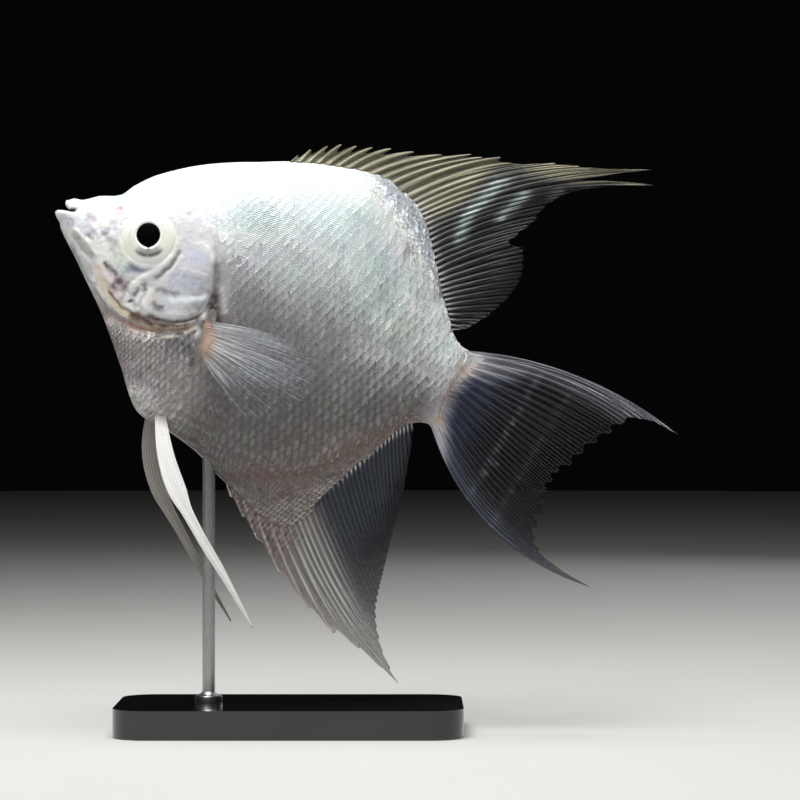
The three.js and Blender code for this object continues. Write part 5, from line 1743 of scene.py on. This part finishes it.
class ANGELFISH_OT_scales(bpy.types.Operator):
    """Lay the scales over the skin, in four sizes on either flank"""

    bl_idname = "angelfish.scales"
    bl_label = "Scales"

    def execute(self, context):
        largest = context.scene.angelfish_sizes.scale_spacing / MM
        ladder = [largest * share for share in (1, 0.8, 0.64, 0.5)]
        shape = scale_shape()
        tree = coat_tree(scale_finish())
        for number, spacing in enumerate(ladder, 1):
            roots = scale_roots(spacing, ladder)
            for side_name, side in SIDES.items():
                name = f"scales_{side_name}_{number}"
                ride_root(make_coat(name, roots, side, spacing, tree, shape), "scales")
        bpy.data.objects.remove(shape)
        return {"FINISHED"}


class ANGELFISH_OT_eyes(bpy.types.Operator):
    """Set both eyes in their sockets"""

    bl_idname = "angelfish.eyes"
    bl_label = "Eyes"

    def execute(self, context):
        material = eye_finish()
        for side_name, side in SIDES.items():
            eye = make_eye(f"eyeball_{side_name}", side, material)
            ride_root(eye, "eye", f"eye_{side_name}")
        return {"FINISHED"}


class ANGELFISH_OT_median_fins(bpy.types.Operator):
    """Build the dorsal, anal and tail fins"""

    bl_idname = "angelfish.median_fins"
    bl_label = "Dorsal, anal and tail fins"

    def execute(self, context):
        sizes = context.scene.angelfish_sizes
        material = fin_finish("smoky fin", 0.8, 0.45)
        halves = (sizes.ray_half / MM, sizes.web_half / MM)
        for name, fin, between, rows, paint in (
            ("dorsal", DORSAL, 14, 80, dorsal_paint),
            ("anal", ANAL, 14, 90, anal_paint),
            ("tail", TAIL, 26, 80, tail_paint),
        ):
            piece = make_fin(f"{name}_rays_and_web", fin, between, rows, paint, material, *halves)
            ride_root(piece, "fin_web", f"{name}_fin")
        return {"FINISHED"}


class ANGELFISH_OT_paired_fins(bpy.types.Operator):
    """Build the pectoral and pelvic fins"""

    bl_idname = "angelfish.paired_fins"
    bl_label = "Pectoral and pelvic fins"

    def execute(self, context):
        fan = fin_finish("clear fin", 0.3, 0.02, ray_cover=0.6, jointed_by=0, wispy=True)
        blade = fin_finish("pale fin", 0.98, 0.95, jointed_by=0.08, fibrous=0.2)
        for side_name, side in SIDES.items():
            name = f"pectoral_rays_{side_name}"
            piece = make_fin(name, fan_fin(side), 24, 50, fan_paint, fan, 0.12, 0.05)
            ride_root(piece, "fin_web", f"pectoral_fin_{side_name}")
            piece = make_pelvic(f"pelvic_rays_{side_name}", side_name, blade)
            ride_root(piece, "fin_web", f"pelvic_fin_{side_name}")
        return {"FINISHED"}


def lathe(name, profile, centre):
    """A closed turned shape about an upright axis, from pairs of radius and height in metres."""
    around = 64
    radii, heights = np.array(profile).T
    turn = np.linspace(0, 2 * np.pi, around, endpoint=False)
    places = np.stack([
        centre[0] + radii[:, None] * np.cos(turn),
        centre[1] + radii[:, None] * np.sin(turn),
        heights[:, None] + 0 * turn,
    ], -1)
    faces = grid_faces(len(radii), around, closed=True)
    return mesh_of(name, places.reshape(-1, 3), faces, weld=1e-6)


class ANGELFISH_OT_stand(bpy.types.Operator):
    """Build the stand's polished base and its brushed rod"""

    bl_idname = "angelfish.stand"
    bl_label = "Stand"

    def execute(self, context):
        low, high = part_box("stand_base")
        rod_low, rod_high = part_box("stand_rod")
        size = high - low
        shape = bmesh.new()
        corner, edge = 0.006, 0.0006
        outline = []
        for sx, sy, start in ((1, 1, 0), (-1, 1, 90), (-1, -1, 180), (1, -1, 270)):
            for angle in np.radians(start + np.linspace(0, 90, 13)).tolist():
                outline.append((
                    sx * (size.x / 2 - corner) + corner * math.cos(angle),
                    sy * (size.y / 2 - corner) + corner * math.sin(angle),
                ))
        lower = [shape.verts.new((x, y, low.z)) for x, y in outline]
        upper = [shape.verts.new((x, y, high.z)) for x, y in outline]
        shape.faces.new(reversed(lower))
        shape.faces.new(upper)
        for i in range(len(outline)):
            j = (i + 1) % len(outline)
            shape.faces.new((lower[i], lower[j], upper[j], upper[i]))
        rims = [e for e in shape.edges if abs(e.verts[0].co.z - e.verts[1].co.z) < 1e-7]
        bmesh.ops.bevel(shape, geom=rims, offset=edge, segments=4, profile=0.5, affect="EDGES")
        bmesh.ops.recalc_face_normals(shape, faces=shape.faces)
        mesh = bpy.data.meshes.new("stand_plinth")
        shape.to_mesh(mesh)
        shape.free()
        mesh.shade_smooth()
        mesh.set_sharp_from_angle(angle=math.radians(40))
        base = new_object("stand_plinth", mesh)
        finish = Finish(
            "polished black acrylic", Coat_Weight=0.6, Coat_Roughness=0.05, IOR=1.49,
            Specular_IOR_Level=0.5,
        )
        dust, smear = finish.noise(0.0008, 5), finish.noise(0.02, 3)
        dusty = finish.range(dust, 0.6, 0.85, 0, 0.2)
        black = linear(angelfish_colours().base)
        finish.to(finish.blend(black, (0.12, 0.12, 0.12), dusty), "Base Color")
        finish.rough(smear, 0.12, 0.22)
        finish.bumps((smear, 0.00004), (dust, 0.000006))
        mesh.materials.append(finish.material)
        ride_root(base, "stand_base", "stand_base")

        centre = ((rod_low.x + rod_high.x) / 2, (rod_low.y + rod_high.y) / 2)
        radius, collar, foot = 0.0011, (rod_high.x - rod_low.x) / 2, high.z
        top = rod_high.z + 0.0022
        profile = [
            (0, foot - 0.001), (collar, foot - 0.001), (collar, foot + 0.0011),
            (collar - 0.0001, foot + 0.00125), (collar - 0.0004, foot + 0.00135),
            (radius + 0.0003, foot + 0.0016), (radius, foot + 0.0019), (radius, foot + 0.004),
            (radius, top - 0.0003), (radius - 0.0003, top), (0, top),
        ]
        rod = lathe("stand_post", profile, centre)
        rod.data.set_sharp_from_angle(angle=math.radians(35))
        steel = Finish("brushed steel", Metallic=1.0, Anisotropic=0.4)
        lines = steel.noise(1.0, 3, steel.places((30000, 30000, 600)))
        stain = steel.noise(0.006, 3)
        bright = steel.blend((0.42, 0.43, 0.44), (0.62, 0.62, 0.63), steel.range(lines, 0.3, 0.7))
        stained = steel.range(stain, 0.55, 0.8, 0, 0.3)
        steel.to(steel.blend(bright, (0.35, 0.33, 0.31), stained), "Base Color")
        steel.rough(lines, 0.24, 0.38)
        steel.bumps((lines, 0.000006))
        rod.data.materials.append(steel.material)
        ride_root(rod, "stand_rod", "stand_rod")
        return {"FINISHED"}


class ANGELFISH_OT_stage(bpy.types.Operator):
    """Set the pale floor, the soft lights, the surroundings and the camera"""

    bl_idname = "angelfish.stage"
    bl_label = "Stage"

    def execute(self, context):
        stage = context.scene.angelfish_stage
        camera = bpy.data.cameras.new("camera")
        camera.sensor_width = 36
        camera.lens = 36 * -stage.camera_place[1] / stage.camera_view
        holder = new_object("camera", camera)
        holder.location = stage.camera_place
        holder.rotation_euler = (math.pi / 2, 0, 0)
        context.scene.camera = holder

        around = 96
        turn = np.linspace(0, 2 * np.pi, around, endpoint=False)
        radii = stage.floor_radius * np.linspace(0.02, 1, 12) ** 1.5
        rings = np.stack([
            radii[:, None] * np.cos(turn), radii[:, None] * np.sin(turn), 0 * radii[:, None] * turn,
        ], -1)
        faces = grid_faces(len(radii), around, closed=True, flip=True)
        floor = mesh_of("floor", rings.reshape(-1, 3), faces, solid=False)
        shape = bmesh.new()
        shape.from_mesh(floor.data)
        half_way = stage.floor_radius / 2
        hole = [e for e in shape.edges if e.is_boundary and e.verts[0].co.length < half_way]
        bmesh.ops.holes_fill(shape, edges=hole, sides=0)
        bmesh.ops.recalc_face_normals(shape, faces=shape.faces)
        shape.to_mesh(floor.data)
        shape.free()
        finish = Finish("pale floor")
        cloud, grit = finish.noise(0.08), finish.noise(0.0015)
        clouded = finish.range(cloud, 0.35, 0.65)
        pale = finish.blend((0.625, 0.625, 0.615), (0.635, 0.635, 0.625), clouded)
        finish.to(pale, "Base Color")
        finish.rough(cloud, 0.64, 0.66)
        finish.bumps((grit, 0.00003))
        floor.data.materials.append(finish.material)

        middle = Vector((0.01, 0, 0.06))

        def soft_light(name, place, size, power, colour=(1, 1, 1)):
            """A rectangular lamp aimed at the fish."""
            lamp = bpy.data.lights.new(name, "AREA")
            lamp.shape = "RECTANGLE"
            lamp.size, lamp.size_y = size
            lamp.energy = power
            lamp.color = colour
            holder = new_object(name, lamp)
            holder.location = place
            holder.rotation_euler = (middle - Vector(place)).to_track_quat("-Z", "Y").to_euler()

        warm, fill = (1, 0.99, 0.97), stage.fill_power
        soft_light("top_light", (-0.03, -0.06, 0.42), (0.34, 0.26), stage.key_power, warm)
        soft_light("front_light", (-0.16, -0.38, 0.5), (0.24, 0.24), fill)
        soft_light("back_light", (0.25, 0.5, 0.3), (0.4, 0.4), fill * 0.3)

        world = bpy.data.worlds.new("soft surroundings")
        context.scene.world = world
        world.use_nodes = True
        ground = world.node_tree.nodes["Background"]
        ground.inputs["Color"].default_value = (0.0016, 0.0016, 0.0018, 1)
        ground.inputs["Strength"].default_value = 1.0
        context.scene.view_settings.view_transform = "Standard"
        return {"FINISHED"}


class ANGELFISH_PT_panel(bpy.types.Panel):
    """Lists the pieces of the model"""

    bl_idname = "ANGELFISH_PT_panel"
    bl_label = "Angelfish"
    bl_space_type = "VIEW_3D"
    bl_region_type = "UI"
    bl_category = "Angelfish"

    def draw(self, context):
        for group in (
            context.scene.angelfish_sizes, context.scene.angelfish_colours, context.scene.angelfish_stage,
        ):
            box = self.layout.box()
            for key in group.bl_rna.properties.keys():
                if key not in ("rna_type", "name"):
                    box.prop(group, key)
        for operator in OPERATORS:
            self.layout.operator(operator.bl_idname)


OPERATORS = (
    ANGELFISH_OT_skin,
    ANGELFISH_OT_scales,
    ANGELFISH_OT_eyes,
    ANGELFISH_OT_median_fins,
    ANGELFISH_OT_paired_fins,
    ANGELFISH_OT_stand,
    ANGELFISH_OT_stage,
)
GROUPS = {
    "angelfish_sizes": AngelfishSizes,
    "angelfish_colours": AngelfishColours,
    "angelfish_stage": AngelfishStage,
}


def register():
    """Makes the classes known to Blender and puts the settings on the scene."""
    for group in (*GROUPS.values(), *OPERATORS, ANGELFISH_PT_panel):
        bpy.utils.register_class(group)
    for name, group in GROUPS.items():
        setattr(bpy.types.Scene, name, PointerProperty(type=group))


def unregister():
    """Takes back what register did."""
    for name in GROUPS:
        delattr(bpy.types.Scene, name)
    for group in reversed((*GROUPS.values(), *OPERATORS, ANGELFISH_PT_panel)):
        bpy.utils.unregister_class(group)


def main():
    """Builds the whole model."""
    register()
    bpy.ops.angelfish.stage()
    bpy.ops.angelfish.skin()
    bpy.ops.angelfish.scales()
    bpy.ops.angelfish.eyes()
    bpy.ops.angelfish.median_fins()
    bpy.ops.angelfish.paired_fins()
    bpy.ops.angelfish.stand()
    bpy.context.view_layer.update()


if __name__ == "__main__":
    main()
